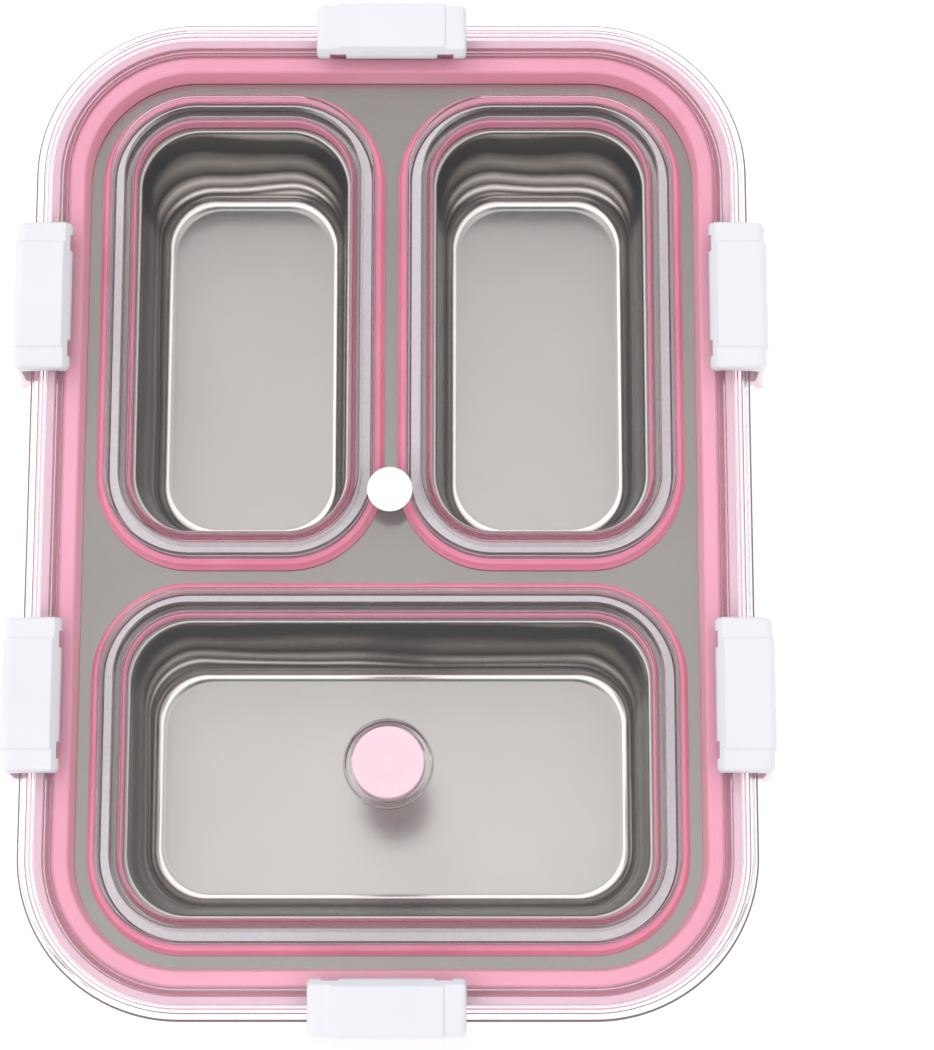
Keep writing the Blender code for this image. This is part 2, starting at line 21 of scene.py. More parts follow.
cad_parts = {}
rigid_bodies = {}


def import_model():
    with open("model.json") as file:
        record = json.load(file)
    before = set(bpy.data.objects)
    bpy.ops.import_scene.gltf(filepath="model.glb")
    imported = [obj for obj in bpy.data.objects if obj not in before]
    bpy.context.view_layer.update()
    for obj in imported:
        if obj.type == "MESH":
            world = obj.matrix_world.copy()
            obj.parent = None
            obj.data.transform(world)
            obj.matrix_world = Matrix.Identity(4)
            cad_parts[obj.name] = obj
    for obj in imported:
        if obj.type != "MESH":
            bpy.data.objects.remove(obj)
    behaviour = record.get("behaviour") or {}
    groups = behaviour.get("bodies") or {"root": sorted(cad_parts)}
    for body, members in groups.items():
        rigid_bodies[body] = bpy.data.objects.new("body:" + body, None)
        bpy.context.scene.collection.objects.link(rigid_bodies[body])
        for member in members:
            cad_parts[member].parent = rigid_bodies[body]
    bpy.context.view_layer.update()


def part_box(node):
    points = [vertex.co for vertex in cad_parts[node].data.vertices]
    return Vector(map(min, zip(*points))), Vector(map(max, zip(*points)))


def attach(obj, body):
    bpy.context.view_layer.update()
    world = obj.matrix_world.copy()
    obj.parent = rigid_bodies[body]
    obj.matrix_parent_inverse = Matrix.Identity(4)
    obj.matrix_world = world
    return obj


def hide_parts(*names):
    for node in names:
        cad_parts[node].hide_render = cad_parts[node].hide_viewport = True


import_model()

log = logging.getLogger("bento")

Array = np.ndarray
MM = 0.001
CORNER_STEPS = 26
ARC_STEPS = 5
GUARD = 0.12
WELD = 2e-6


# ---------------------------------------------------------------------------------------------
# Shapes
# ---------------------------------------------------------------------------------------------


def rounded(corners: Sequence[Sequence[float]], closed: bool = True, steps: int = ARC_STEPS) -> Array:
    """A polyline whose corners are turned into arcs.

    Each arc begins radius / tan(half the corner's angle) before the corner and swings in equal
    angles to the side after it. A guard point stands a little before and after every arc, so that
    the flat sides stay flat when the surface is shaded smooth.

    Args:
        corners: Rows of (inset, z, radius), and any further columns to carry along.
        closed: Whether the last corner joins the first.
        steps: Segments in each arc.

    Returns:
        Rows of (inset, z) and the further columns.
    """
    table = np.asarray(corners, float)
    points, radius, extra = table[:, :2], table[:, 2], table[:, 3:]
    before = np.roll(points, 1, axis=0) - points
    after = np.roll(points, -1, axis=0) - points
    length_before = np.linalg.norm(before, axis=1)
    length_after = np.linalg.norm(after, axis=1)
    before /= length_before[:, None]
    after /= length_after[:, None]
    half = np.arccos(np.clip((before * after).sum(1), -0.99995, 0.99995)) / 2
    touch = np.minimum(radius / np.tan(half), 0.45 * np.minimum(length_before, length_after))
    radius = touch * np.tan(half)
    middle = before + after
    centre = points + middle / np.linalg.norm(middle, axis=1)[:, None] * (radius / np.sin(half))[:, None]
    start = points + before * touch[:, None] - centre
    end = points + after * touch[:, None] - centre
    swing = (np.pi - 2 * half)[:, None]
    share = np.linspace(0, 1, steps + 1)[None, :]
    from_start = (np.sin((1 - share) * swing) / np.sin(swing))[:, :, None]
    from_end = (np.sin(share * swing) / np.sin(swing))[:, :, None]
    arcs = centre[:, None] + from_start * start[:, None] + from_end * end[:, None]
    free_before = length_before - touch - np.roll(touch, 1)
    free_after = length_after - touch - np.roll(touch, -1)
    lead_in = points + before * (touch + np.minimum(GUARD, free_before / 3))[:, None]
    lead_out = points + after * (touch + np.minimum(GUARD, free_after / 3))[:, None]
    found = np.concatenate([lead_in[:, None], arcs, lead_out[:, None]], axis=1)
    carried = np.broadcast_to(extra[:, None], (*found.shape[:2], extra.shape[1]))
    found = np.concatenate([found, carried], axis=2)
    if closed:
        return found.reshape(-1, found.shape[2])
    inner = found[1:-1].reshape(-1, found.shape[2])
    ends = np.concatenate([points, extra], axis=1)
    return np.concatenate([ends[:1], inner, ends[-1:]])


def arc(centre: Sequence[float], radius: float, start: float, end: float, steps: int) -> Array:
    """Points on a circle's arc: centre + radius * (cos a, sin a), with a from start to end.

    Args:
        centre: The circle's centre.
        radius: Its radius.
        start: First angle, in degrees.
        end: Last angle, in degrees.
        steps: Segments in the arc.

    Returns:
        Rows of (inset, z).
    """
    turn = np.radians(np.linspace(start, end, steps + 1))
    return np.asarray(centre) + radius * np.stack([np.cos(turn), np.sin(turn)], axis=1)


def smooth_step(low: float, high: float, value: Array) -> Array:
    """0 below low and 1 above high, with the cubic 3t^2 - 2t^3 between them."""
    t = np.clip((value - low) / (high - low), 0, 1)
    return t * t * (3 - 2 * t)


@dataclass(frozen=True)
class Outline:
    """A rounded rectangle on a level plane."""

    width: float
    length: float
    corner: float
    x: float = 0.0
    y: float = 0.0

    def carry(self, section: Array) -> Array:
        """The section carried round the outline.

        The four corner centres stay where they are, and every point lies at corner - inset from
        its centre, so that all the loops are concentric. One more point on the straight side at
        either end of each corner keeps the side flat.

        Args:
            section: Rows of (inset, z).

        Returns:
            A grid of points, section by outline by (x, y, z).
        """
        turn = np.linspace(0, np.pi / 2, CORNER_STEPS + 1)
        turn = np.concatenate([turn[:1], turn, turn[-1:]])
        angle = (np.arange(4)[:, None] * np.pi / 2 + turn).ravel()
        rays = np.stack([np.cos(angle), np.sin(angle)], axis=1)
        along = np.zeros(len(turn))
        along[0], along[-1] = -1.0, 1.0
        tangent = np.stack([-np.sin(angle), np.cos(angle)], axis=1) * np.tile(along, 4)[:, None]
        sides = np.array([(1, 1), (-1, 1), (-1, -1), (1, -1)], float)
        reach = (self.width / 2 - self.corner, self.length / 2 - self.corner)
        centres = np.repeat(sides * reach, len(turn), axis=0) + (self.x, self.y) + tangent
        plan = centres[None] + (self.corner - section[:, 0])[:, None, None] * rays[None]
        height = np.broadcast_to(section[:, 1][:, None, None], (*plan.shape[:2], 1))
        return np.concatenate([plan, height], axis=2)

    def loop(self, inset: float, z: float) -> Array:
        """One closed loop of points at an inset and a height."""
        return self.carry(np.array([[inset, z]]))[0]


def turned(section: Array, x: float, y: float, steps: int = 96) -> Array:
    """A section of (radius, z) turned about a vertical axis: x + r cos a, y + r sin a, z.

    Args:
        section: Rows of (radius, z).
        x: The axis's place across.
        y: The axis's place along.
        steps: Points in each circle.

    Returns:
        A grid of points, section by circle by (x, y, z).
    """
    angle = np.linspace(0, 2 * np.pi, steps, endpoint=False)
    radius = section[:, 0][:, None]
    height = np.broadcast_to(section[:, 1][:, None], (len(section), steps))
    return np.stack([x + radius * np.cos(angle), y + radius * np.sin(angle), height], axis=2)


class Skin:
    """Grids and flat patches that are welded into one mesh."""

    def __init__(self) -> None:
        """Starts with no surface."""
        self.points: list[Array] = []
        self.faces: list[list[int]] = []
        self.count = 0

    def _keep(self, points: Array, faces: Array) -> "Skin":
        """Adds points, and faces numbered from the first of them.

        Args:
            points: Rows of (x, y, z).
            faces: Rows of point numbers.

        Returns:
            This skin.
        """
        self.points.append(points)
        self.faces.extend((faces + self.count).tolist())
        self.count += len(points)
        return self

    def grid(self, points: Array, wrap_rows: bool = False, wrap_columns: bool = True) -> "Skin":
        """Adds a grid: point (i, j) joins (i + 1, j), (i + 1, j + 1) and (i, j + 1) in a face.

        Args:
            points: Rows by columns by (x, y, z).
            wrap_rows: Whether the last row joins the first.
            wrap_columns: Whether the last column joins the first.

        Returns:
            This skin.
        """
        rows, columns = points.shape[:2]
        i = np.arange(rows if wrap_rows else rows - 1)[:, None]
        j = np.arange(columns if wrap_columns else columns - 1)[None, :]
        up, on = (i + 1) % rows, (j + 1) % columns
        faces = np.stack(
            [i * columns + j, i * columns + on, up * columns + on, up * columns + j], axis=2
        )
        return self._keep(points.reshape(-1, 3), faces.reshape(-1, 4))

    def patch(self, *loops: Array) -> "Skin":
        """Adds a flat face, cut into triangles.

        Args:
            loops: The outer loop of points, then the loop of each hole.

        Returns:
            This skin.
        """
        outline = [[Vector(point) for point in loop] for loop in loops]
        faces = np.array([list(triangle) for triangle in tessellate_polygon(outline)])
        return self._keep(np.concatenate(loops), faces)

    def mesh(self, name: str, closed: bool = True) -> bpy.types.Mesh:
        """Welds everything into one mesh in metres, with its faces outwards.

        Args:
            name: The mesh's name.
            closed: Whether the surface shuts something in, so that outwards has a meaning.

        Returns:
            The mesh, shaded smooth with crisp edges above 40 degrees.
        """
        made = bpy.data.meshes.new(name)
        made.from_pydata((np.concatenate(self.points) * MM).tolist(), [], self.faces)
        bm = bmesh.new()
        bm.from_mesh(made)
        bmesh.ops.remove_doubles(bm, verts=bm.verts, dist=WELD)
        bmesh.ops.recalc_face_normals(bm, faces=bm.faces)
        if not closed:
            highest = max(bm.faces, key=lambda face: face.calc_center_median().z)
            if highest.normal.z < 0:
                bmesh.ops.reverse_faces(bm, faces=bm.faces)
        bm.to_mesh(made)
        bm.free()
        return shaded(made)


def shaded(mesh: bpy.types.Mesh) -> bpy.types.Mesh:
    """Shades a mesh smooth, with edges sharper than 40 degrees left crisp."""
    mesh.shade_smooth()
    mesh.set_sharp_from_angle(angle=math.radians(40))
    return mesh


def ring(name: str, outline: Outline, corners: Sequence[Sequence[float]]) -> bpy.types.Mesh:
    """A closed section with rounded corners, carried round an outline."""
    return Skin().grid(outline.carry(rounded(corners)), wrap_rows=True).mesh(name)


def capped(name: str, grid: Array) -> bpy.types.Mesh:
    """A grid whose first and last rows are each closed with a flat face."""
    return Skin().grid(grid).patch(grid[0]).patch(grid[-1]).mesh(name)


def normals(section: Array) -> Array:
    """Unit normals of a closed section: the way from the last point to the next, turned a quarter.

    Args:
        section: Rows of (inset, z).

    Returns:
        One normal for each row, to the right of the way the section runs.
    """
    along = np.roll(section, -1, axis=0) - np.roll(section, 1, axis=0)
    across = np.stack([along[:, 1], -along[:, 0]], axis=1)
    return across / np.linalg.norm(across, axis=1)[:, None]


def bar(section: Array, half_length: float, end_round: Array, middle: float = 0.0, steps: int = 6) -> Array:
    """A section drawn along the rim, with rounded ends.

    Towards either end the section shrinks along its normals by R (1 - cos a) while it moves on by
    R sin a, for a from 0 to 90 degrees, which rounds the end edges with radius R.

    Args:
        section: Rows of (inset, z), run so that its normals point outwards.
        half_length: Half the bar's length.
        end_round: The end edges' radius at each row.
        middle: Where the bar's middle lies along the rim.
        steps: Segments in each rounded end.

    Returns:
        A grid of points, station by section by (inset, along, z).
    """
    turn = np.linspace(np.pi / 2, 0, steps + 1)
    turn = np.concatenate([turn, turn[::-1]])
    side = np.repeat([-1.0, 1.0], steps + 1)
    shrink = end_round[None, :] * (1 - np.cos(turn))[:, None]
    across = section[None] - normals(section)[None] * shrink[:, :, None]
    reach = half_length - end_round[None, :] * (1 - np.sin(turn))[:, None]
    along = middle + side[:, None] * reach
    return np.stack([across[:, :, 0], along, across[:, :, 1]], axis=2)


def outwards(section: Array) -> Array:
    """A closed section, run so that its normals point out of it.

    Args:
        section: Rows of (inset, z), run either way.

    Returns:
        The same rows, turned round where half the sum of x z' - x' z is not positive.
    """
    x, z = section[:, 0], section[:, 1]
    area = (x * np.roll(z, -1) - np.roll(x, -1) * z).sum()
    return section if area > 0 else section[::-1]


def carved(mesh: bpy.types.Mesh, cutters: Sequence[bpy.types.Mesh]) -> bpy.types.Mesh:
    """The mesh with every cutter taken out of it by an exact Boolean.

    Args:
        mesh: The mesh to cut, which is used up.
        cutters: Closed meshes, which are used up too.

    Returns:
        The cut mesh.
    """
    scene = bpy.context.scene
    tools = bpy.data.collections.new("tools")
    scene.collection.children.link(tools)
    body = bpy.data.objects.new("body", mesh)
    scene.collection.objects.link(body)
    for cutter in cutters:
        tools.objects.link(bpy.data.objects.new(cutter.name, cutter))
    cut = body.modifiers.new("Cut", "BOOLEAN")
    cut.operand_type = "COLLECTION"
    cut.collection = tools
    cut.solver = "EXACT"
    graph = bpy.context.evaluated_depsgraph_get()
    made = bpy.data.meshes.new_from_object(body.evaluated_get(graph))
    for obj in [body, *tools.objects]:
        bpy.data.objects.remove(obj, do_unlink=True)
    bpy.data.collections.remove(tools)
    return shaded(made)


def box_mesh(name: str, low: Sequence[float], high: Sequence[float]) -> bpy.types.Mesh:
    """A plain block, for cutting.

    Args:
        name: The mesh's name.
        low: Its lowest corner.
        high: Its highest corner.

    Returns:
        The block.
    """
    low, high = np.asarray(low, float), np.asarray(high, float)
    corners = np.array([(0, 0), (1, 0), (1, 1), (0, 1)], float)
    plan = low[:2] + corners * (high - low)[:2]
    return capped(name, np.stack([np.column_stack([plan, np.full(4, z)]) for z in (low[2], high[2])]))


def rod_mesh(name: str, centre: Sequence[float], radius: float, half_length: float, edge: float = 0.0,
             steps: int = 40) -> bpy.types.Mesh:
    """A round rod along the rim: a circle drawn out as a bar.

    Args:
        name: The mesh's name.
        centre: The rod's middle.
        radius: Its radius.
        half_length: Half its length.
        edge: Its end edges' radius.
        steps: Points in the circle.

    Returns:
        The rod.
    """
    section = arc((centre[0], centre[2]), radius, 0, 360, steps)[:-1]
    return capped(name, bar(section, half_length, np.full(len(section), edge), middle=centre[1]))


# ---------------------------------------------------------------------------------------------
# Finishes
# ---------------------------------------------------------------------------------------------


def linear(code: str) -> tuple[float, float, float, float]:
    """An sRGB hex colour as linear RGBA: v / 12.92 up to 0.04045, and ((v + 0.055) / 1.055)^2.4 above.

    Args:
        code: The colour, as # and six digits.

    Returns:
        Red, green, blue and an alpha of 1.
    """
    raw = np.array([int(code[i:i + 2], 16) for i in (1, 3, 5)]) / 255
    value = np.where(raw <= 0.04045, raw / 12.92, ((raw + 0.055) / 1.055) ** 2.4)
    return (*value.tolist(), 1.0)


def add(tree: bpy.types.NodeTree, kind: str, settings: dict | None = None,
        inputs: dict | None = None) -> bpy.types.Node:
    """Adds a node.

    Args:
        tree: The node tree.
        kind: The node's type.
        settings: Its properties.
        inputs: Its sockets by name or number, each with a value or with a socket to link.

    Returns:
        The node.
    """
    made = tree.nodes.new(kind)
    for name, value in (settings or {}).items():
        setattr(made, name, value)
    for key, value in (inputs or {}).items():
        if isinstance(value, bpy.types.NodeSocket):
            tree.links.new(value, made.inputs[key])
        else:
            made.inputs[key].default_value = value
    return made


@dataclass(frozen=True)
class Finish:
    """A finish that starts from one Principled shader and runs between a light and a deep colour."""

    name: str = "finish"
    light: str = "#FFFFFF"
    deep: str = "#FFFFFF"

    def start(self, **sockets: object) -> tuple[bpy.types.Material, bpy.types.NodeTree, bpy.types.Node]:
        """Begins a material.

        Args:
            sockets: Plain values for the shader's sockets, named with _ for a space.

        Returns:
            The material, its node tree and its Principled shader.
        """
        made = bpy.data.materials.new(self.name)
        made.use_nodes = True
        shader = made.node_tree.nodes["Principled BSDF"]
        for key, value in sockets.items():
            shader.inputs[key.replace("_", " ")].default_value = value
        return made, made.node_tree, shader

    def place(self, tree: bpy.types.NodeTree, scale: Sequence[float] = (1, 1, 1)) -> bpy.types.NodeSocket:
        """The object's own coordinates, in metres, stretched by scale."""
        where = add(tree, "ShaderNodeTexCoord")
        moved = add(tree, "ShaderNodeMapping", inputs={"Vector": where.outputs["Object"], "Scale": scale})
        return moved.outputs["Vector"]

    def noise(self, tree: bpy.types.NodeTree, size_mm: float, detail: float = 2.0,
              stretch: Sequence[float] = (1, 1, 1)) -> bpy.types.NodeSocket:
        """Noise whose lumps are size_mm wide, longer where stretch is below 1."""
        return add(tree, "ShaderNodeTexNoise", inputs={
            "Vector": self.place(tree, stretch), "Scale": 1000 / size_mm / 2, "Detail": detail,
        }).outputs["Fac"]

    def spread(self, tree: bpy.types.NodeTree, value: bpy.types.NodeSocket, low: float,
               high: float) -> bpy.types.NodeSocket:
        """Maps the usual span of a noise, 0.3 to 0.7, to low and high."""
        return add(tree, "ShaderNodeMapRange", inputs={
            "Value": value, "From Min": 0.3, "From Max": 0.7, "To Min": low, "To Max": high,
        }).outputs["Result"]

    def tint(self, tree: bpy.types.NodeTree, share: bpy.types.NodeSocket, first: str,
             second: str) -> bpy.types.NodeSocket:
        """Mixes two sRGB colours by a share."""
        mixed = add(tree, "ShaderNodeMix", {"data_type": "RGBA"}, {
            0: share, 6: linear(first), 7: linear(second),
        })
        return mixed.outputs[2]

    def bump(self, tree: bpy.types.NodeTree, height: bpy.types.NodeSocket,
             depth_mm: float) -> bpy.types.NodeSocket:
        """A normal from a height of 0 to 1, depth_mm deep."""
        return add(tree, "ShaderNodeBump", inputs={
            "Height": height, "Distance": depth_mm * MM,
        }).outputs["Normal"]

    def mottle(self, tree: bpy.types.NodeTree, shader: bpy.types.Node, size_mm: float,
               detail: float) -> bpy.types.NodeSocket:
        """Mottles the base colour between light and deep.

        Args:
            tree: The node tree.
            shader: Its Principled shader.
            size_mm: How wide the lumps are.
            detail: How much smaller noise lies on them.

        Returns:
            The noise that the mottle follows.
        """
        cloud = self.noise(tree, size_mm, detail)
        colour = self.tint(tree, self.spread(tree, cloud, 0, 1), self.light, self.deep)
        tree.links.new(colour, shader.inputs["Base Color"])
        return cloud

    def grain(self, tree: bpy.types.NodeTree, shader: bpy.types.Node, size_mm: float, depth_mm: float,
              gloss: tuple[float, float]) -> None:
        """Gives the surface a fine grain.

        Args:
            tree: The node tree.
            shader: Its Principled shader.
            size_mm: How wide the grains are.
            depth_mm: How deep they are.
            gloss: The roughness in the grain's hollows and on its tops.
        """
        grain = self.noise(tree, size_mm)
        tree.links.new(self.spread(tree, grain, *gloss), shader.inputs["Roughness"])
        tree.links.new(self.bump(tree, grain, depth_mm), shader.inputs["Normal"])


@dataclass(frozen=True)
class ClearCopolyester(Finish):
    """Injection-moulded clear copolyester: water-clear, with slow flow ripples that bend the highlights
    a little. Painted shade turns it grey-mauve where it is seen at a grazing angle, standing in for
    the dark lines that its walls show."""

    name: str = "clear_copolyester"
    light: str = "#FBFAFD"
    # the painted shade colour, reached at grazing angles
    deep: str = "#6A5B62"
    shadow: str = "#F7F6F9"
    ripple_mm: float = 14.0
    ripple_depth_mm: float = 0.0006

    def make(self) -> bpy.types.Material:
        """Builds the material; lamps shine straight through it."""
        made, tree, shader = self.start(Transmission_Weight=1.0, IOR=1.54, Roughness=0.02)
        # painted shade: the base colour runs from light to the deep grey-mauve as the surface turns edge-on
        painted_slant_shade = add(tree, "ShaderNodeLayerWeight", inputs={"Blend": 0.5}).outputs["Facing"]
        painted_slant_shade = add(tree, "ShaderNodeMapRange", {"interpolation_type": "SMOOTHSTEP"}, {
            "Value": painted_slant_shade, "From Min": 0.7, "From Max": 0.97,
        }).outputs["Result"]
        tree.links.new(self.tint(tree, painted_slant_shade, self.light, self.deep), shader.inputs["Base Color"])
        ripple = self.noise(tree, self.ripple_mm, 1.0)
        tree.links.new(self.bump(tree, ripple, self.ripple_depth_mm), shader.inputs["Normal"])
        haze = self.noise(tree, 3.0)
        tree.links.new(self.spread(tree, haze, 0.0, 0.02), shader.inputs["Roughness"])
        path = add(tree, "ShaderNodeLightPath")
        through = add(tree, "ShaderNodeBsdfTransparent", inputs={"Color": linear(self.shadow)})
        mixed = add(tree, "ShaderNodeMixShader", inputs={
            0: path.outputs["Is Shadow Ray"], 1: shader.outputs[0], 2: through.outputs[0],
        })
        tree.links.new(mixed.outputs[0], tree.nodes["Material Output"].inputs["Surface"])
        return made


@dataclass(frozen=True)
class PinkPolypropylene(Finish):
    """Injection-moulded pink polypropylene: a soft satin gloss over a very fine spark-eroded grain."""

    name: str = "pink_polypropylene"
    light: str = "#FFB6C9"
    deep: str = "#FBA9BE"

    def make(self) -> bpy.types.Material:
        """Builds the material."""
        made, tree, shader = self.start(
            Roughness=0.34, IOR=1.49, Subsurface_Weight=0.12, Subsurface_Scale=0.002,
            Subsurface_Radius=(1.0, 0.45, 0.5),
        )
        self.mottle(tree, shader, 40.0, 3.0)
        self.grain(tree, shader, 0.35, 0.006, (0.3, 0.4))
        return made


@dataclass(frozen=True)
class PinkSilicone(Finish):
    """Compression-moulded food-grade silicone: matte, a little translucent, with a pale bloom."""

    name: str = "pink_silicone"
    light: str = "#F6A2BB"
    deep: str = "#F096B1"

    def make(self) -> bpy.types.Material:
        """Builds the material."""
        made, tree, shader = self.start(
            Roughness=0.55, IOR=1.41, Subsurface_Weight=0.3, Subsurface_Scale=0.003,
            Subsurface_Radius=(1.0, 0.4, 0.5), Sheen_Weight=0.12, Sheen_Roughness=0.5,
        )
        self.mottle(tree, shader, 9.0, 3.0)
        self.grain(tree, shader, 0.5, 0.01, (0.48, 0.62))
        return made


@dataclass(frozen=True)
class SatinStainless(Finish):
    """Cold-rolled stainless steel, deep-drawn and left satin: soft reflections, with fine rolling
    streaks along the box. Painted reflections: light and dark stripes by height round the walls of
    the wells, and painted light on the wells' floors, which are lighter than the top."""

    name: str = "satin_stainless"
    light: str = "#C3C0B9"
    deep: str = "#BBB8B1"
    # painted reflections: light and dark stripes on the walls of the wells, by height from the floor (0) to
    # the top (1); the light ones are painted highlights
    painted_reflection_bands: tuple[tuple[float, str], ...] = (
        (0.0, "#F2EEEA"), (0.07, "#E4E0DC"), (0.12, "#3A3735"), (0.18, "#F2EEEA"), (0.24, "#4A4744"),
        (0.34, "#B9B4B0"), (0.44, "#302E2C"), (0.60, "#827D79"), (0.76, "#2A2827"), (0.93, "#3B3836"),
        (1.0, "#96928E"),
    )
    glance: str = "#9E9C9A"
    floor_reach: tuple[float, float] = (0.020, 0.004)
    wall_reach: tuple[float, float] = (0.004, 0.046)
    band_mm: float = 26.0
    band_shift: float = 0.16
    # painted light: the wells' floors are painted lighter than the top, standing in for the brighter light
    # that they reflect
    painted_floor_light: str = "#EFEDE5"
    painted_floor_deep: str = "#E9E7DF"
    streak_mm: float = 0.8
    roughness: float = 0.19

    def make(self) -> bpy.types.Material:
        """Builds the material; the streaks are drawn coarser than the real ones, so that they show."""
        made, tree, shader = self.start(
            Metallic=1.0, Roughness=self.roughness, Specular_Tint=linear(self.glance),
        )
        cloud = self.spread(tree, self.noise(tree, 25.0, 3.0), 0, 1)
        height = add(tree, "ShaderNodeSeparateXYZ", inputs={0: self.place(tree)}).outputs["Z"]
        # painted light: this mask is 1 low in the wells, near their floors, where the lighter painted floor
        # colours go
        well = add(tree, "ShaderNodeMapRange", {"interpolation_type": "SMOOTHSTEP"}, {
            "Value": height, "From Min": self.floor_reach[0], "From Max": self.floor_reach[1],
        }).outputs["Result"]
        colour = add(tree, "ShaderNodeMix", {"data_type": "RGBA"}, {
            0: well, 6: self.tint(tree, cloud, self.light, self.deep),
            7: self.tint(tree, cloud, self.painted_floor_light, self.painted_floor_deep),
        })
        slope = add(tree, "ShaderNodeSeparateXYZ", inputs={
            0: add(tree, "ShaderNodeNewGeometry").outputs["True Normal"]}).outputs["Z"]
        upright = add(tree, "ShaderNodeMapRange", {"interpolation_type": "SMOOTHSTEP"}, {
            "Value": slope, "From Min": 0.75, "From Max": 0.2,
        }).outputs["Result"]
        depth = add(tree, "ShaderNodeMapRange", inputs={
            "Value": height, "From Min": self.wall_reach[0], "From Max": self.wall_reach[1],
        }).outputs["Result"]
        wave = self.noise(tree, self.band_mm, 1.0)
        wave = self.spread(tree, wave, -self.band_shift / 2, self.band_shift / 2)
        depth = add(tree, "ShaderNodeMath", {"operation": "ADD"}, {0: depth, 1: wave}).outputs[0]
        # painted reflections: the wall's height, shifted by the wave, picks its painted stripe from this ramp
        drawn = add(tree, "ShaderNodeValToRGB", inputs={0: depth})
        stops = drawn.color_ramp.elements
        while len(stops) < len(self.painted_reflection_bands):
            stops.new(0.5)
        for stop, (spot, code) in zip(stops, self.painted_reflection_bands):
            stop.position = spot
            stop.color = linear(code)
        # the painted reflection stripes go on the upright walls only
        colour = add(tree, "ShaderNodeMix", {"data_type": "RGBA"}, {
            0: upright, 6: colour.outputs[2], 7: drawn.outputs["Color"],
        })
        tree.links.new(colour.outputs[2], shader.inputs["Base Color"])
        streak = self.noise(tree, self.streak_mm, 2.0, (1, 0.03, 0.05))
        tree.links.new(self.spread(tree, streak, self.roughness - 0.01, self.roughness + 0.015),
                       shader.inputs["Roughness"])
        level = add(tree, "ShaderNodeMath", {"operation": "SUBTRACT"}, {0: 1.0, 1: upright}).outputs[0]
        ridge = add(tree, "ShaderNodeMath", {"operation": "MULTIPLY"}, {0: streak, 1: level}).outputs[0]
        tree.links.new(self.bump(tree, ridge, 0.0002), shader.inputs["Normal"])
        return made


@dataclass(frozen=True)
class PolishedStainless(Finish):
    """Drawn and polished stainless wire: bright, with faint drawing lines along it."""

    name: str = "polished_stainless"
    light: str = "#D8D6D3"
    deep: str = "#C8C5C1"

    def make(self) -> bpy.types.Material:
        """Builds the material."""
        made, tree, shader = self.start(Metallic=1.0, Roughness=0.16)
        line = self.noise(tree, 0.2, 2.0)
        tree.links.new(self.tint(tree, line, self.light, self.deep), shader.inputs["Base Color"])
        tree.links.new(self.spread(tree, line, 0.12, 0.22), shader.inputs["Roughness"])
        return made


@dataclass(frozen=True)
class WhitePolypropylene(Finish):
    """Injection-moulded white polypropylene: clean white with a cool cast and a low satin gloss."""

    name: str = "white_polypropylene"
    light: str = "#EBEBF1"
    deep: str = "#E7E7ED"

    def make(self) -> bpy.types.Material:
        """Builds the material."""
        made, tree, shader = self.start(
            Roughness=0.4, IOR=1.49, Subsurface_Weight=0.1, Subsurface_Scale=0.002,
            Subsurface_Radius=(1.0, 1.0, 1.0),
        )
        self.mottle(tree, shader, 12.0, 3.0)
        self.grain(tree, shader, 0.4, 0.006, (0.36, 0.46))
        return made


@dataclass(frozen=True)
class CoatedPaper(Finish):
    """Blank coated paper: bright white, with the faint fibre mottle of a sticker."""

    name: str = "coated_paper"
    light: str = "#FCFCFC"
    deep: str = "#F3F2F1"

    def make(self) -> bpy.types.Material:
        """Builds the material."""
        made, tree, shader = self.start(Roughness=0.45)
        fibre = self.mottle(tree, shader, 0.8, 4.0)
        tree.links.new(self.bump(tree, fibre, 0.01), shader.inputs["Normal"])
        return made


@dataclass(frozen=True)
class PaintedLightSkin(Finish):
    """A thin skin of translucent copolyester with a fine grain, used for painted light: white as a painted
    highlight in the lid's grooves, dark as painted shade on the lid's edge.
    """

    name: str = "frosted_copolyester"
    light: str = "#FFFFFF"
    deep: str = "#F6F4F5"
    density: float = 0.9

    def make(self) -> bpy.types.Material:
        """Builds the material."""
        made, tree, shader = self.start(Roughness=0.5, IOR=1.54, Alpha=self.density)
        grain = self.mottle(tree, shader, 0.6, 3.0)
        tree.links.new(self.bump(tree, grain, 0.01), shader.inputs["Normal"])
        return made


class Paint(Enum):
    """The finishes of this box, by the part's material slot."""

    SHELL = PinkPolypropylene()
    SILICONE = PinkSilicone()
    SEAL = PinkSilicone("pink_silicone_seal", "#F48DA9", "#EC809D")
    STEEL = SatinStainless()
    CLEAR = ClearCopolyester()
    # painted highlight: white skins in the lid's grooves
    FROST = PaintedLightSkin()
    # painted shade: dark mauve skins on the lid's edge
    PARTING = PaintedLightSkin("parting_line_copolyester", "#75676D", "#6B5D63", 0.85)
    WHITE = WhitePolypropylene()
    PIN = PolishedStainless()
    PAPER = CoatedPaper()

    def material(self) -> bpy.types.Material:
        """The finish's material, made the first time it is asked for."""
        return bpy.data.materials.get(self.value.name) or self.value.make()


def put(name: str, mesh: bpy.types.Mesh, paint: Paint, body: str, *nodes: str) -> bpy.types.Object:
    """Stands a finished mesh in the scene as a piece of the box.

    Args:
        name: The piece's name.
        mesh: Its mesh, in place.
        paint: Its finish.
        body: The body that it rides on.
        nodes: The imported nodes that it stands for.

    Returns:
        The piece.
    """
    mesh.name = name
    mesh.materials.clear()
    mesh.materials.append(paint.material())
    made = bpy.data.objects.new(name, mesh)
    bpy.context.scene.collection.objects.link(made)
    if nodes:
        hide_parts(*nodes)
    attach(made, body)
    log.info("%s on %s: %d faces, %s", name, body, len(mesh.polygons), paint.value.name)
    return made


# ---------------------------------------------------------------------------------------------
# The box
# ---------------------------------------------------------------------------------------------


def node_box(node: str) -> tuple[Array, Array]:
    """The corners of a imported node, in millimetres."""
    low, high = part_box(node)
    return np.array(low) / MM, np.array(high) / MM


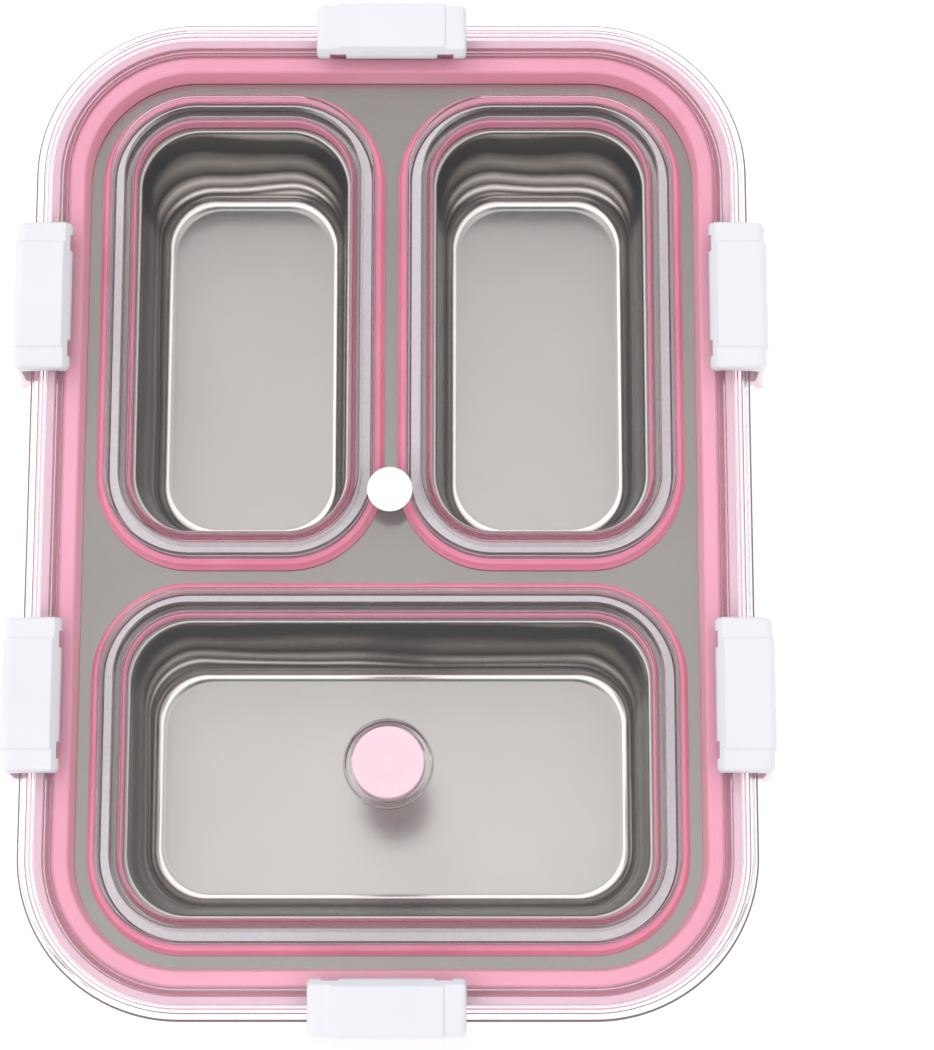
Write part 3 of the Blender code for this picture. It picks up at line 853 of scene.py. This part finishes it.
@dataclass
class Layout:
    """Where things are: the lid's outline, the compartments' openings and the main heights."""

    lid_corner: float = 44.0
    opening_corner: float = 17.0
    seal_reach: float = 9.7
    sheet: float = 0.6
    head_room: float = 8.5
    plate: float = 2.0
    tray_top: float = field(init=False)
    floor: float = field(init=False)
    lid_top: float = field(init=False)
    lid_under: float = field(init=False)
    lid: Outline = field(init=False)
    openings: dict[str, Outline] = field(init=False)

    def __post_init__(self) -> None:
        """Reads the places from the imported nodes."""
        low, high = node_box("steel_tray")
        self.tray_top, self.floor = float(high[2]), float(low[2]) + self.sheet
        self.lid_under = self.tray_top + self.head_room
        self.lid_top = self.lid_under + self.plate
        low, high = node_box("lid")
        size = high - low
        self.lid = Outline(float(size[0]), float(size[1]), self.lid_corner)
        self.openings = {name: self.opening(name) for name in ("rear_left", "rear_right", "front")}

    def opening(self, name: str) -> Outline:
        """A compartment's opening, which lies inside its seal.

        Args:
            name: The compartment's name.

        Returns:
            The opening's outline.
        """
        low, high = node_box(f"seal_{name}")
        size, middle = high - low, (high + low) / 2
        return Outline(
            float(size[0]) - 2 * self.seal_reach, float(size[1]) - 2 * self.seal_reach,
            self.opening_corner, float(middle[0]), float(middle[1]),
        )

    @property
    def vent(self) -> tuple[float, float]:
        """The vent's axis, in the middle of the front compartment."""
        front = self.openings["front"]
        return front.x, front.y


class Side(Enum):
    """The way a latch faces: how far its local axes are turned, and which axis its length runs along."""

    LEFT = (0.0, 1)
    RIGHT = (180.0, 1)
    FRONT = (90.0, 0)
    REAR = (-90.0, 0)


@dataclass(frozen=True)
class Site:
    """A latch's place on the rim."""

    name: str
    side: Side
    layout: Layout

    def placed(self, mesh: bpy.types.Mesh, name: str) -> bpy.types.Mesh:
        """A copy of a mesh that was made at the left of the origin, moved to this site.

        The copy is turned about Z by the side's angle and moved to the lid's edge.

        Args:
            mesh: The mesh, with X inwards across the rim and Y along it.
            name: The copy's name.

        Returns:
            The copy, in place.
        """
        turn, along_axis = self.side.value
        low, high = node_box(f"latch_{self.name}")
        middle = (low + high) / 2
        half = np.array([self.layout.lid.width, self.layout.lid.length]) / 2
        angle = math.radians(turn)
        inward = np.array([math.cos(angle), math.sin(angle)])
        spot = -inward * half
        spot[along_axis] = middle[along_axis]
        made = mesh.copy()
        made.name = name
        points = np.empty(len(made.vertices) * 3)
        made.vertices.foreach_get("co", points)
        points = points.reshape(-1, 3)
        cos, sin = round(math.cos(angle)), round(math.sin(angle))
        moved = points.copy()
        moved[:, 0] = points[:, 0] * cos - points[:, 1] * sin + spot[0] * MM
        moved[:, 1] = points[:, 0] * sin + points[:, 1] * cos + spot[1] * MM
        made.vertices.foreach_set("co", moved.ravel())
        made.update()
        return made


@dataclass
class Tub:
    """The moulded shell and the rim frame that holds the tray."""

    layout: Layout
    rim_inset: float = 6.8
    rim_wall: float = 2.0
    rim_top: float = 47.3
    ledge_top: float = 45.1
    ledge_under: float = 43.1
    waist_inset: float = 13.0
    wall_inner: float = 14.66
    foot_recess: float = 1.1
    foot_outer: float = 21.16
    foot_inner: float = 33.0
    foot_round: float = 7.0
    floor_top: float = 3.1
    floor_inset: float = 22.6
    skirt_outer: float = 4.4
    skirt_inner: float = 6.5
    skirt_bottom: float = 42.6
    tongue_inset: float = 8.8
    seat: float = 47.6
    land_rise: float = 7.0
    groove_depth: float = 3.8
    catch_length: float = 34.0
    catch_under: float = 44.5
    catch_top: float = 47.5

    def shell(self) -> bpy.types.Mesh:
        """The tub: outside from the foot up to the rim, then inside down to the floor."""
        rim, wall = self.rim_inset, self.rim_wall
        section = rounded([
            (self.foot_inner + 4.0, self.foot_recess, 0),
            (self.foot_inner + self.foot_recess, self.foot_recess, 0.4),
            (self.foot_inner, 0.0, 0.4),
            (self.foot_outer, 0.0, self.foot_round),
            (self.waist_inset, self.ledge_under, 0.8),
            (rim, self.ledge_under, 1.8),
            (rim, self.rim_top, 0.4),
            (rim + wall, self.rim_top, 0.4),
            (rim + wall, self.ledge_top, 0.3),
            (self.wall_inner, self.ledge_top, 0.8),
            (self.floor_inset, self.floor_top, 5.0),
            (self.floor_inset + 9.4, self.floor_top, 0),
        ], closed=False)
        return capped("outer_shell", self.layout.lid.carry(section))

    def frame_ring(self) -> bpy.types.Mesh:
        """The rim frame: a skirt outside, a groove in the top, the land, and a foot over the tray."""
        foot = self.layout.tray_top + 0.3
        land = self.layout.tray_top + self.land_rise
        groove = land - self.groove_depth
        return ring("rim_frame", self.layout.lid, [
            (self.skirt_outer, self.skirt_bottom, 0.5),
            (self.skirt_outer, land - 1.0, 0.5),
            (6.6, land - 1.0, 0.5),
            (6.6, groove, 0.35),
            (self.tongue_inset, groove, 0.35),
            (self.tongue_inset, land - 0.8, 0.35),
            (9.6, land, 0.6),
            (13.3, land, 0.9),
            (14.4, foot, 0.25),
            (9.1, foot, 0.15),
            (9.1, self.seat, 0.15),
            (self.skirt_inner, self.seat, 0.2),
            (self.skirt_inner, self.skirt_bottom, 0.4),
        ])

    def catch(self) -> bpy.types.Mesh:
        """One ledge on the frame's skirt, chamfered below for a latch's hook."""
        under, top = self.catch_under, self.catch_top
        section = outwards(rounded([
            (-0.4, top, 0.3), (-0.4, under + 1.3, 0.3), (0.9, under, 0.3), (5.2, under, 0.1), (5.2, top, 0.1),
        ]))
        return capped("catch", bar(section, self.catch_length / 2, np.full(len(section), 0.4)))

    def build(self, sites: Sequence[Site]) -> None:
        """Puts the shell, the frame and its catches in the scene.

        Args:
            sites: The latches' places.
        """
        put("moulded_tub", self.shell(), Paint.SHELL, "base", "outer_shell")
        put("tongue_and_land_ring", self.frame_ring(), Paint.SHELL, "base", "rim_frame")
        catch = self.catch()
        for site in sites:
            put(f"catch_ledge_{site.name}", site.placed(catch, "catch"), Paint.SHELL, "base")


@dataclass
class Tray:
    """The pressed steel sheet with its three drawn wells."""

    layout: Layout
    flange_inset: float = 9.4
    lip_round: float = 1.4
    floor_round: float = 6.0
    wall_head: float = 1.32
    wall_foot: float = 3.75
    end_lean: float = 4.0
    corner_share: float = 0.4
    flat_edge: float = 0.3

    def well(self, outline: Outline, section: Array) -> Array:
        """A well's section carried round its opening.

        The two end walls lean in further than the side walls, by end_lean * (top - z) / (top -
        floor), and below the lip a corner loses only corner_share of the inset from its radius.

        Args:
            outline: The opening.
            section: Rows of (inset, z).

        Returns:
            A grid of points, section by outline by (x, y, z).
        """
        top, floor = self.layout.tray_top, self.layout.floor
        loops = []
        for inset, z in section:
            lean = self.end_lean * (top - z) / (top - floor)
            corner = outline.corner - inset * (self.corner_share if inset > 0 else 1.0)
            size = (outline.width - 2 * inset, outline.length - 2 * (inset + lean))
            loops.append(Outline(*size, corner, outline.x, outline.y).loop(0.0, z))
        return np.stack(loops)

    def build(self) -> None:
        """Puts the tray in the scene: a flat top, and for each well a lip, a drafted wall and a floor."""
        top, floor = self.layout.tray_top, self.layout.floor
        section = rounded([
            (-1.0, top, 0),
            (self.wall_head, top, self.lip_round),
            (self.wall_foot, floor, self.floor_round),
            (11.0, floor, 0),
        ], closed=False, steps=12)
        insets = [self.flange_inset + step * self.flat_edge for step in range(3)]
        flange = [self.layout.lid.loop(inset, top) for inset in insets]
        skin = Skin().grid(np.stack(flange))
        rims = [flange[-1]]
        for outline in self.layout.openings.values():
            grid = self.well(outline, section)
            skin.grid(grid).patch(grid[-1])
            rims.append(grid[0])
        mesh = skin.patch(*rims).mesh("tray", closed=False)
        tray = put("pressed_tray", mesh, Paint.STEEL, "base", "steel_tray")
        wall = tray.modifiers.new("Sheet", "SOLIDIFY")
        wall.thickness = self.layout.sheet * MM
        wall.offset = -1.0
        wall.use_even_offset = True


@dataclass
class Lid:
    """The clear lid: skirt, ribs, seal channels and vent well."""

    layout: Layout
    skirt_wall: float = 1.9
    skirt_bottom: float = 48.0
    edge_round: float = 1.9
    well_radius: float = 10.3
    well_outer: float = 11.8
    well_depth: float = 7.0
    well_lip: float = 0.5
    vent_hole: float = 2.8
    label_radius: float = 6.2
    label_y: float = 4.6
    groove_floor: float = 49.2
    channel_floor: float = 47.8
    skin_gap: float = 0.02
    skin_thick: float = 0.1
    skin_drop: float = 2.9
    # where the painted shade skins run round the edge's arcs, in degrees
    shade_start: float = 184.0
    shade_ends: tuple[float, float] = (136.0, 104.0)

    def edge(self) -> Array:
        """The edge's section, from the top face over the skirt and the two ribs to the underside."""
        top, under = self.layout.lid_top, self.layout.lid_under
        return rounded([
            (4.2, top, 0),
            (0.0, top, self.edge_round),
            (0.0, self.skirt_bottom, 0.6),
            (self.skirt_wall, self.skirt_bottom, 0.6),
            (self.skirt_wall, under, 0.5),
            (3.3, under, 0.25),
            (3.3, under - 1.9, 0.3),
            (4.1, under - 1.9, 0.3),
            (4.1, under, 0.2),
            (6.9, under, 0.25),
            (6.9, under - 4.7, 0.5),
            (8.5, under - 4.7, 0.5),
            (8.5, under, 0.5),
            (10.2, under, 0),
        ], closed=False)

    def groove(self) -> Array:
        """The groove that hollows a seal channel from above."""
        top, floor = self.layout.lid_top, self.groove_floor
        return rounded([
            (-8.6, top, 0), (-6.4, top, 0.35), (-6.1, floor, 0.35),
            (-3.3, floor, 0.35), (-3.0, top, 0.35), (-1.4, top, 0),
        ], closed=False)

    def channel(self) -> Array:
        """The outside of a seal channel: flared walls down to an upright foot."""
        under, foot = self.layout.lid_under, self.channel_floor
        return rounded([
            (-9.0, under, 0), (-6.9, under, 0.35), (-6.7, foot, 0.4),
            (-0.9, foot, 0.4), (-0.7, under, 0.35), (0.8, under, 0),
        ], closed=False)

    def frost(self, outline: Outline) -> bpy.types.Mesh:
        """Painted highlight: a thin white skin on the floor and inner wall of a groove, standing in for the
        bright band of light that the groove shows.

        Args:
            outline: The compartment's opening.

        Returns:
            The skin.
        """
        low, thick = self.groove_floor + self.skin_gap, self.skin_thick
        top = self.layout.lid_top - self.skin_drop
        return ring("frost", outline, [
            (-5.85, low, 0.02), (-3.5, low, 0.1), (-3.2, top, 0.02), (-3.2 - thick, top, 0.02),
            (-3.5 - thick, low + thick, 0.02), (-5.85, low + thick, 0.02),
        ])

    def edge_shade_skins(self) -> dict[str, bpy.types.Mesh]:
        """Painted shade: thin dark skins on the skirt's outer round and its inner fillet, standing in for the
        dark lines that the lid's edge shows.
        """
        top, under, start, thick = self.layout.lid_top, self.layout.lid_under, self.shade_start, 0.03
        outer = ((self.edge_round, top - self.edge_round), self.edge_round + self.skin_gap)
        inner = ((self.skirt_wall + 0.5, under - 0.5), 0.45)
        made = {}
        for name, (centre, radius), end in zip(("outer", "inner"), (outer, inner), self.shade_ends):
            near = arc(centre, radius, start, end, 10)
            far = arc(centre, radius + thick, end, start, 10)
            grid = self.layout.lid.carry(np.concatenate([near, far]))
            made[name] = Skin().grid(grid, wrap_rows=True).mesh("parting_line")
        return made

    def vent(self) -> Array:
        """The vent's section of (radius, z), from the top face down the well and back up its outside."""
        top, under = self.layout.lid_top, self.layout.lid_under
        floor = top - self.well_depth
        return rounded([
            (13.4, top, 0),
            (self.well_outer, top, 0.25),
            (self.well_outer, top + self.well_lip, 0.2),
            (self.well_radius, top + self.well_lip, 0.2),
            (self.well_radius, floor, 0.8),
            (self.vent_hole, floor, 0.2),
            (self.vent_hole, floor - 1.5, 0.2),
            (self.well_outer, floor - 1.5, 0.8),
            (self.well_outer, under, 0.5),
            (13.4, under, 0),
        ], closed=False)

    def plate(self) -> bpy.types.Mesh:
        """The whole lid as one closed surface."""
        edge = self.layout.lid.carry(self.edge())
        vent = turned(self.vent(), *self.layout.vent)
        skin = Skin().grid(edge).grid(vent)
        above, below = [edge[0]], [edge[-1]]
        for name, outline in self.layout.openings.items():
            groove, channel = outline.carry(self.groove()), outline.carry(self.channel())
            skin.grid(groove).grid(channel)
            above.append(groove[0])
            below.append(channel[0])
            holes = ([vent[0]], [vent[-1]]) if name == "front" else ([], [])
            skin.patch(groove[-1], *holes[0]).patch(channel[-1], *holes[1])
        return skin.patch(*above).patch(*below).mesh("lid")

    def label(self) -> bpy.types.Mesh:
        """A blank round sticker on the lid."""
        top = self.layout.lid_top
        section = rounded([
            (0.3, top + 0.12, 0), (self.label_radius, top + 0.12, 0.05),
            (self.label_radius, top + 0.02, 0.04), (0.3, top + 0.02, 0),
        ], closed=False, steps=3)
        return capped("label", turned(section, 0.0, self.label_y))

    def build(self) -> None:
        """Puts the lid, the painted highlight skins in its grooves, the painted shade skins on its edge and
        its blank label in the scene.
        """
        put("clear_lid_moulding", self.plate(), Paint.CLEAR, "lid", "lid")
        for name, outline in self.layout.openings.items():
            put(f"frosted_groove_floor_{name}", self.frost(outline), Paint.FROST, "lid")
        for name, mesh in self.edge_shade_skins().items():
            put(f"parting_line_{name}", mesh, Paint.PARTING, "lid")
        put("blank_round_label", self.label(), Paint.PAPER, "lid")


@dataclass
class Seals:
    """The silicone seals round the compartments, the lid's gasket and the vent plug."""

    layout: Layout
    head_radius: float = 9.7
    stem_radius: float = 2.4
    barb_radius: float = 3.6
    rays: int = 22
    ray_depth: float = 0.28
    face_rings: int = 24
    lift: float = 0.3

    def seal(self, outline: Outline) -> bpy.types.Mesh:
        """A compartment's seal: a wall with a lip outside the channel, and a leg with a foot inside it.

        Args:
            outline: The compartment's opening.

        Returns:
            The seal.
        """
        bottom = self.layout.tray_top + self.lift
        wall = rounded([
            (-7.0, bottom, 0.3), (-7.0, bottom + 3.7, 0.5), (-8.6, bottom + 4.1, 0.5),
            (-9.0, bottom + 1.9, 0.6), (-9.7, bottom + 0.9, 0.25), (-9.7, bottom, 0.2),
        ])
        leg = rounded([
            (-0.05, bottom, 0.25), (-0.05, bottom + 4.6, 0.25), (-0.6, bottom + 4.6, 0.2),
            (-0.6, bottom + 1.2, 0.1), (-1.7, bottom + 1.2, 0.3), (-1.7, bottom, 0.3),
        ])
        skin = Skin()
        for section in (wall, leg):
            skin.grid(outline.carry(section), wrap_rows=True)
        return skin.mesh("seal")

    def gasket(self) -> list[tuple[float, float, float]]:
        """The perimeter gasket's section, between the lid's ribs."""
        top, bottom = self.layout.lid_under - self.lift, self.layout.tray_top + 6.3
        return [(4.4, bottom, 0.5), (4.4, top, 0.3), (6.6, top, 0.3), (6.6, bottom, 0.5)]

    def plug(self) -> bpy.types.Mesh:
        """The vent plug: a button with faint rays on its head, a stem and a barb.

        The head's height falls by depth * (1 - cos(rays * a)) / 2 within the ring of rays, where a
        is the angle about the axis.
        """
        top, count = self.layout.lid_top + 1.8, self.face_rings
        seat, barb = self.layout.lid_top - 6.7, self.layout.lid_top - 12.3
        face = np.column_stack([np.linspace(0.4, self.head_radius - 1.1, count), np.full(count, top)])
        side = rounded([
            (self.head_radius - 1.0, top, 0),
            (self.head_radius, top, 0.7),
            (self.head_radius, seat, 0.5),
            (self.stem_radius, seat, 0.3),
            (self.stem_radius, barb, 0.1),
            (self.barb_radius, barb, 0.2),
            (self.stem_radius, barb - 1.4, 0.4),
            (0.4, barb - 1.4, 0),
        ], closed=False)
        grid = turned(np.concatenate([face, side]), *self.layout.vent, steps=self.rays * 8)
        across = grid[:count, :, :2] - self.layout.vent
        radius = np.hypot(across[:, :, 0], across[:, :, 1])
        angle = np.arctan2(across[:, :, 1], across[:, :, 0])
        window = smooth_step(2.0, 3.2, radius) * (1 - smooth_step(7.0, 8.4, radius))
        grid[:count, :, 2] -= self.ray_depth * window * (1 - np.cos(self.rays * angle)) / 2
        return capped("plug", grid)

    def build(self) -> None:
        """Puts the seals, the gasket and the plug in the scene."""
        for name, outline in self.layout.openings.items():
            put(f"silicone_seal_{name}", self.seal(outline), Paint.SEAL, "lid", f"seal_{name}")
        gasket = ring("gasket", self.layout.lid, self.gasket())
        put("perimeter_gasket", gasket, Paint.SILICONE, "lid", "lid_gasket")
        put("vent_button", self.plug(), Paint.SILICONE, "vent_plug", "vent_plug")


@dataclass
class Latch:
    """A snap latch with its pin and the lid's lugs. It is made once and copied to the six sites."""

    layout: Layout
    length: float = 42.0
    panel: float = 30.0
    panel_raise: float = 0.5
    wall: float = 2.2
    out: float = 4.5
    flare: float = 1.0
    drop: float = 23.1
    outer_round: float = 2.6
    arm: float = 4.0
    knuckle: float = 2.1
    over_pin: float = 2.7
    pin_inset: float = 9.0
    pin_radius: float = 0.6
    pin_play: float = 0.15
    pin_length: float = 37.5
    lug_centre: float = 15.0
    lug_width: float = 4.0
    lug_radius: float = 1.35
    lug_neck: float = 1.4
    clearance: float = 0.3
    waist: float = 47.28
    hook_foot: float = 41.98
    hook_low: float = 43.03
    hook_high: float = 43.9
    hook_reach: float = 0.9

    @property
    def pin_height(self) -> float:
        """The pin's height above the table."""
        return self.layout.lid_top + self.knuckle + self.clearance

    def section(self, grow: float) -> Array:
        """The latch's section with its top and outer faces raised by grow.

        Args:
            grow: How far the faces stand above the end portions.

        Returns:
            Rows of (inset, z, end radius), run anticlockwise.
        """
        pin = (self.pin_inset, self.pin_height)
        top = self.pin_height + self.over_pin
        outer = -self.out - grow
        inner = self.wall - self.out
        bottom = top - self.drop
        under = top - self.arm
        start = math.degrees(math.asin((pin[1] - under) / self.knuckle)) - 180
        knuckle = arc(pin, self.knuckle, start, 45, 18)
        knuckle = np.column_stack([knuckle, np.full(len(knuckle), 1.3)])
        knee = self.pin_inset + self.knuckle * math.sqrt(2) - (top + grow - pin[1])
        rest = rounded([
            (*knuckle[-1][:2], 0, 1.3),
            (knee, top + grow, 0.6, 1.3),
            (outer, top + grow, self.outer_round, 1.85),
            (outer, self.waist, 3.0, 1.85),
            (outer - self.flare, bottom, 0.8, 0.7),
            (inner - self.flare, bottom, 0.5, 0.25),
            (inner, self.hook_foot, 0.5, 0.25),
            (self.hook_reach - 0.35, self.hook_low, 0.2, 0.12),
            (self.hook_reach, self.hook_high, 0.2, 0.12),
            (inner, self.waist, 0.5, 0.25),
            (inner, under, 1.4, 0.3),
            (*knuckle[0][:2], 0, 0.5),
        ], closed=False, steps=8)
        return np.concatenate([knuckle, rest[1:-1]])

    def body(self) -> bpy.types.Mesh:
        """The latch: its section drawn along the rim, higher over the middle panel.

        Between the two rounded ends the section is worked out at each station for the rise g(v) =
        panel_raise * (1 - s(|v|)), where s is a smooth step across the panel's edge.
        """
        plain = self.section(0.0)
        ends = bar(plain[:, :2], self.length / 2, plain[:, 2], steps=7)
        edge = self.panel / 2
        step = np.array([-0.6, -0.3, -0.18, -0.06, 0.06, 0.18, 0.3, 0.9, 2.0])
        near = np.concatenate([[0.0, 5.0], edge + step])
        stations = np.concatenate([-near[:0:-1], near])
        rise = self.panel_raise * (1 - smooth_step(edge - 0.3, edge + 0.3, np.abs(stations)))
        raised = self.section(self.panel_raise)
        mix = (rise / self.panel_raise)[:, None, None]
        middle = plain[None, :, :2] * (1 - mix) + raised[None, :, :2] * mix
        along = np.broadcast_to(stations[:, None], middle.shape[:2])
        middle = np.stack([middle[:, :, 0], along, middle[:, :, 1]], axis=2)
        half = len(ends) // 2
        return capped("latch", np.concatenate([ends[:half], middle, ends[half:]]))

    def cutters(self) -> list[bpy.types.Mesh]:
        """The two lug slots with their round rooms and open mouths, and the pin's bore."""
        made = []
        inset, height = self.pin_inset, self.pin_height
        half = self.lug_width / 2 + self.clearance
        reach = self.lug_radius + self.clearance
        beyond = inset + self.knuckle + 1.0
        low = self.layout.lid_top - 1.0
        mouth = height + self.knuckle / math.sqrt(2)
        for side in (-1, 1):
            y = side * self.lug_centre
            made.append(box_mesh("slot", (inset - reach, y - half, low), (beyond, y + half, height)))
            made.append(box_mesh("mouth", (inset, y - half, low), (beyond, y + half, mouth)))
            made.append(rod_mesh("room", (inset, y, height), reach, half))
        middle = (self.length - self.pin_length) / 2
        bore = self.pin_radius + self.pin_play
        made.append(rod_mesh("bore", (inset, middle, height), bore, self.pin_length / 2 + 0.45, steps=24))
        return made

    def lug(self, side: int) -> bpy.types.Mesh:
        """A round eye on a narrow neck, bored for the pin.

        Args:
            side: -1 for the lug near the latch's first end and 1 for the other.

        Returns:
            The lug.
        """
        foot = self.layout.lid_top - 0.05
        neck = self.lug_neck / 2
        start = -math.degrees(math.acos(neck / self.lug_radius))
        eye = arc((self.pin_inset, self.pin_height), self.lug_radius, start, 180 - start, 30)
        section = np.concatenate([[(self.pin_inset + neck, foot)], eye, [(self.pin_inset - neck, foot)]])
        grid = bar(section, self.lug_width / 2, np.full(len(section), 0.15), middle=side * self.lug_centre)
        bore = rod_mesh("bore", (self.pin_inset, side * self.lug_centre, self.pin_height),
                        self.pin_radius + self.pin_play, self.lug_width, steps=24)
        return carved(capped("lug", grid), [bore])

    def pin(self) -> bpy.types.Mesh:
        """The hinge pin, with lightly broken ends."""
        middle = (self.length - self.pin_length) / 2 - self.clearance
        return rod_mesh("pin", (self.pin_inset, middle, self.pin_height), self.pin_radius,
                        self.pin_length / 2, 0.15, 24)

    def build(self, sites: Sequence[Site]) -> None:
        """Puts six latches with their pins and lugs in the scene.

        Args:
            sites: The latches' places.
        """
        body = carved(self.body(), self.cutters())
        pin = self.pin()
        lugs = [(word, self.lug(side)) for side, word in ((-1, "a"), (1, "b"))]
        for site in sites:
            where, own = site.name, f"latch_{site.name}"
            put(f"snap_latch_{where}", site.placed(body, "latch"), Paint.WHITE, own, own)
            put(f"steel_pin_{where}", site.placed(pin, "pin"), Paint.PIN, "lid", f"hinge_pin_{where}")
            for word, lug in lugs:
                put(f"hinge_lug_{where}_{word}", site.placed(lug, "lug"), Paint.CLEAR, "lid")


# ---------------------------------------------------------------------------------------------
# Studio
# ---------------------------------------------------------------------------------------------


@dataclass
class Studio:
    """A pale table under a wide soft light, a little stronger from the left, and the camera above
    the box's front edge."""

    elevation: float = 78.0
    distance: float = 0.84
    lens: float = 105.8
    aim: tuple[float, float, float] = (0.0211, -0.0054, 0.0565)
    floor_half: float = 3.0
    opening_core: float = 6.0
    opening_edge: float = 15.0
    opening_light: float = 0.04
    sides: tuple[float, float] = (1.22, 0.78)
    table_drop: float = 0.05
    table_glow: float = 0.35
    levels: tuple[tuple[float, float], ...] = (
        (0.0, 0.92), (0.03, 0.9), (0.1, 0.35), (0.35, 0.6), (0.6, 1.45), (0.85, 1.75),
        (0.925, 0.42), (0.952, 0.58), (0.97, 0.72), (0.985, 0.74), (1.0, 0.92),
    )

    def camera(self) -> None:
        """A long lens looking down on the box from the front."""
        data = bpy.data.cameras.new("camera")
        data.lens = self.lens
        data.sensor_width = 36.0
        data.clip_end = 20.0
        camera = bpy.data.objects.new("camera", data)
        bpy.context.scene.collection.objects.link(camera)
        angle = math.radians(self.elevation)
        back = Vector((0.0, -math.cos(angle), math.sin(angle)))
        camera.location = Vector(self.aim) + back * self.distance
        camera.rotation_euler = back.to_track_quat("Z", "Y").to_euler()
        bpy.context.scene.camera = camera

    def floor(self) -> None:
        """A matt white table."""
        h, z = self.floor_half / MM, -self.table_drop
        corners = np.array([[(-h, -h, z), (h, -h, z)], [(-h, h, z), (h, h, z)]])
        mesh = Skin().grid(corners, wrap_columns=False).mesh("table", closed=False)
        made = bpy.data.materials.new("matt_white_table")
        made.use_nodes = True
        tree = made.node_tree
        shader = tree.nodes["Principled BSDF"]
        shader.inputs["Roughness"].default_value = 0.9
        shader.inputs["Base Color"].default_value = linear("#FAFAFA")
        shader.inputs["Emission Color"].default_value = linear("#FFFFFF")
        shader.inputs["Emission Strength"].default_value = self.table_glow
        mesh.materials.append(made)
        table = bpy.data.objects.new("table", mesh)
        bpy.context.scene.collection.objects.link(table)

    def world(self) -> None:
        """A tent of light, set by height in levels and brighter at the left, with a lens opening."""
        world = bpy.data.worlds.new("soft_tent")
        world.use_nodes = True
        bpy.context.scene.world = world
        tree = world.node_tree
        where = add(tree, "ShaderNodeTexCoord")
        parts = add(tree, "ShaderNodeSeparateXYZ", inputs={0: where.outputs["Generated"]})
        ramp = add(tree, "ShaderNodeValToRGB", inputs={0: parts.outputs["Z"]})
        while len(ramp.color_ramp.elements) < len(self.levels):
            ramp.color_ramp.elements.new(0.5)
        for element, (spot, value) in zip(ramp.color_ramp.elements, self.levels):
            element.position = spot
            element.color = (value, value, value, 1)
        angle = math.radians(self.elevation)
        toward = add(tree, "ShaderNodeVectorMath", {"operation": "DOT_PRODUCT"}, {
            0: where.outputs["Generated"], 1: (0.0, -math.cos(angle), math.sin(angle)),
        })
        opening = add(tree, "ShaderNodeMapRange", {"interpolation_type": "SMOOTHSTEP"}, {
            "Value": toward.outputs["Value"], "From Min": math.cos(math.radians(self.opening_edge)),
            "From Max": math.cos(math.radians(self.opening_core)),
            "To Min": 1.0, "To Max": self.opening_light,
        })
        sideways = add(tree, "ShaderNodeMapRange", inputs={
            "Value": parts.outputs["X"], "From Min": -1.0, "From Max": 1.0,
            "To Min": self.sides[0], "To Max": self.sides[1],
        })
        strength = add(tree, "ShaderNodeMath", {"operation": "MULTIPLY"}, {
            0: opening.outputs["Result"], 1: sideways.outputs["Result"],
        })
        background = tree.nodes["Background"]
        tree.links.new(ramp.outputs["Color"], background.inputs["Color"])
        tree.links.new(strength.outputs[0], background.inputs["Strength"])

    def build(self) -> None:
        """Sets the whole studio up."""
        self.camera()
        self.floor()
        self.world()
        scene = bpy.context.scene
        scene.view_settings.view_transform = "Standard"
        scene.view_settings.look = "None"
        scene.cycles.max_bounces = 24
        scene.cycles.transmission_bounces = 24
        scene.cycles.transparent_max_bounces = 32
        scene.cycles.glossy_bounces = 8


def main() -> None:
    """Builds the studio and the box, piece by piece."""
    logging.basicConfig(level=logging.INFO, format="%(name)s: %(message)s")
    Studio().build()
    layout = Layout()
    sides = {
        "left_rear": Side.LEFT, "left_front": Side.LEFT, "right_rear": Side.RIGHT,
        "right_front": Side.RIGHT, "front": Side.FRONT, "rear": Side.REAR,
    }
    sites = [Site(name, side, layout) for name, side in sides.items()]
    Tub(layout).build(sites)
    Tray(layout).build()
    Lid(layout).build()
    Seals(layout).build()
    Latch(layout).build(sites)


if __name__ == "__main__":
    main()
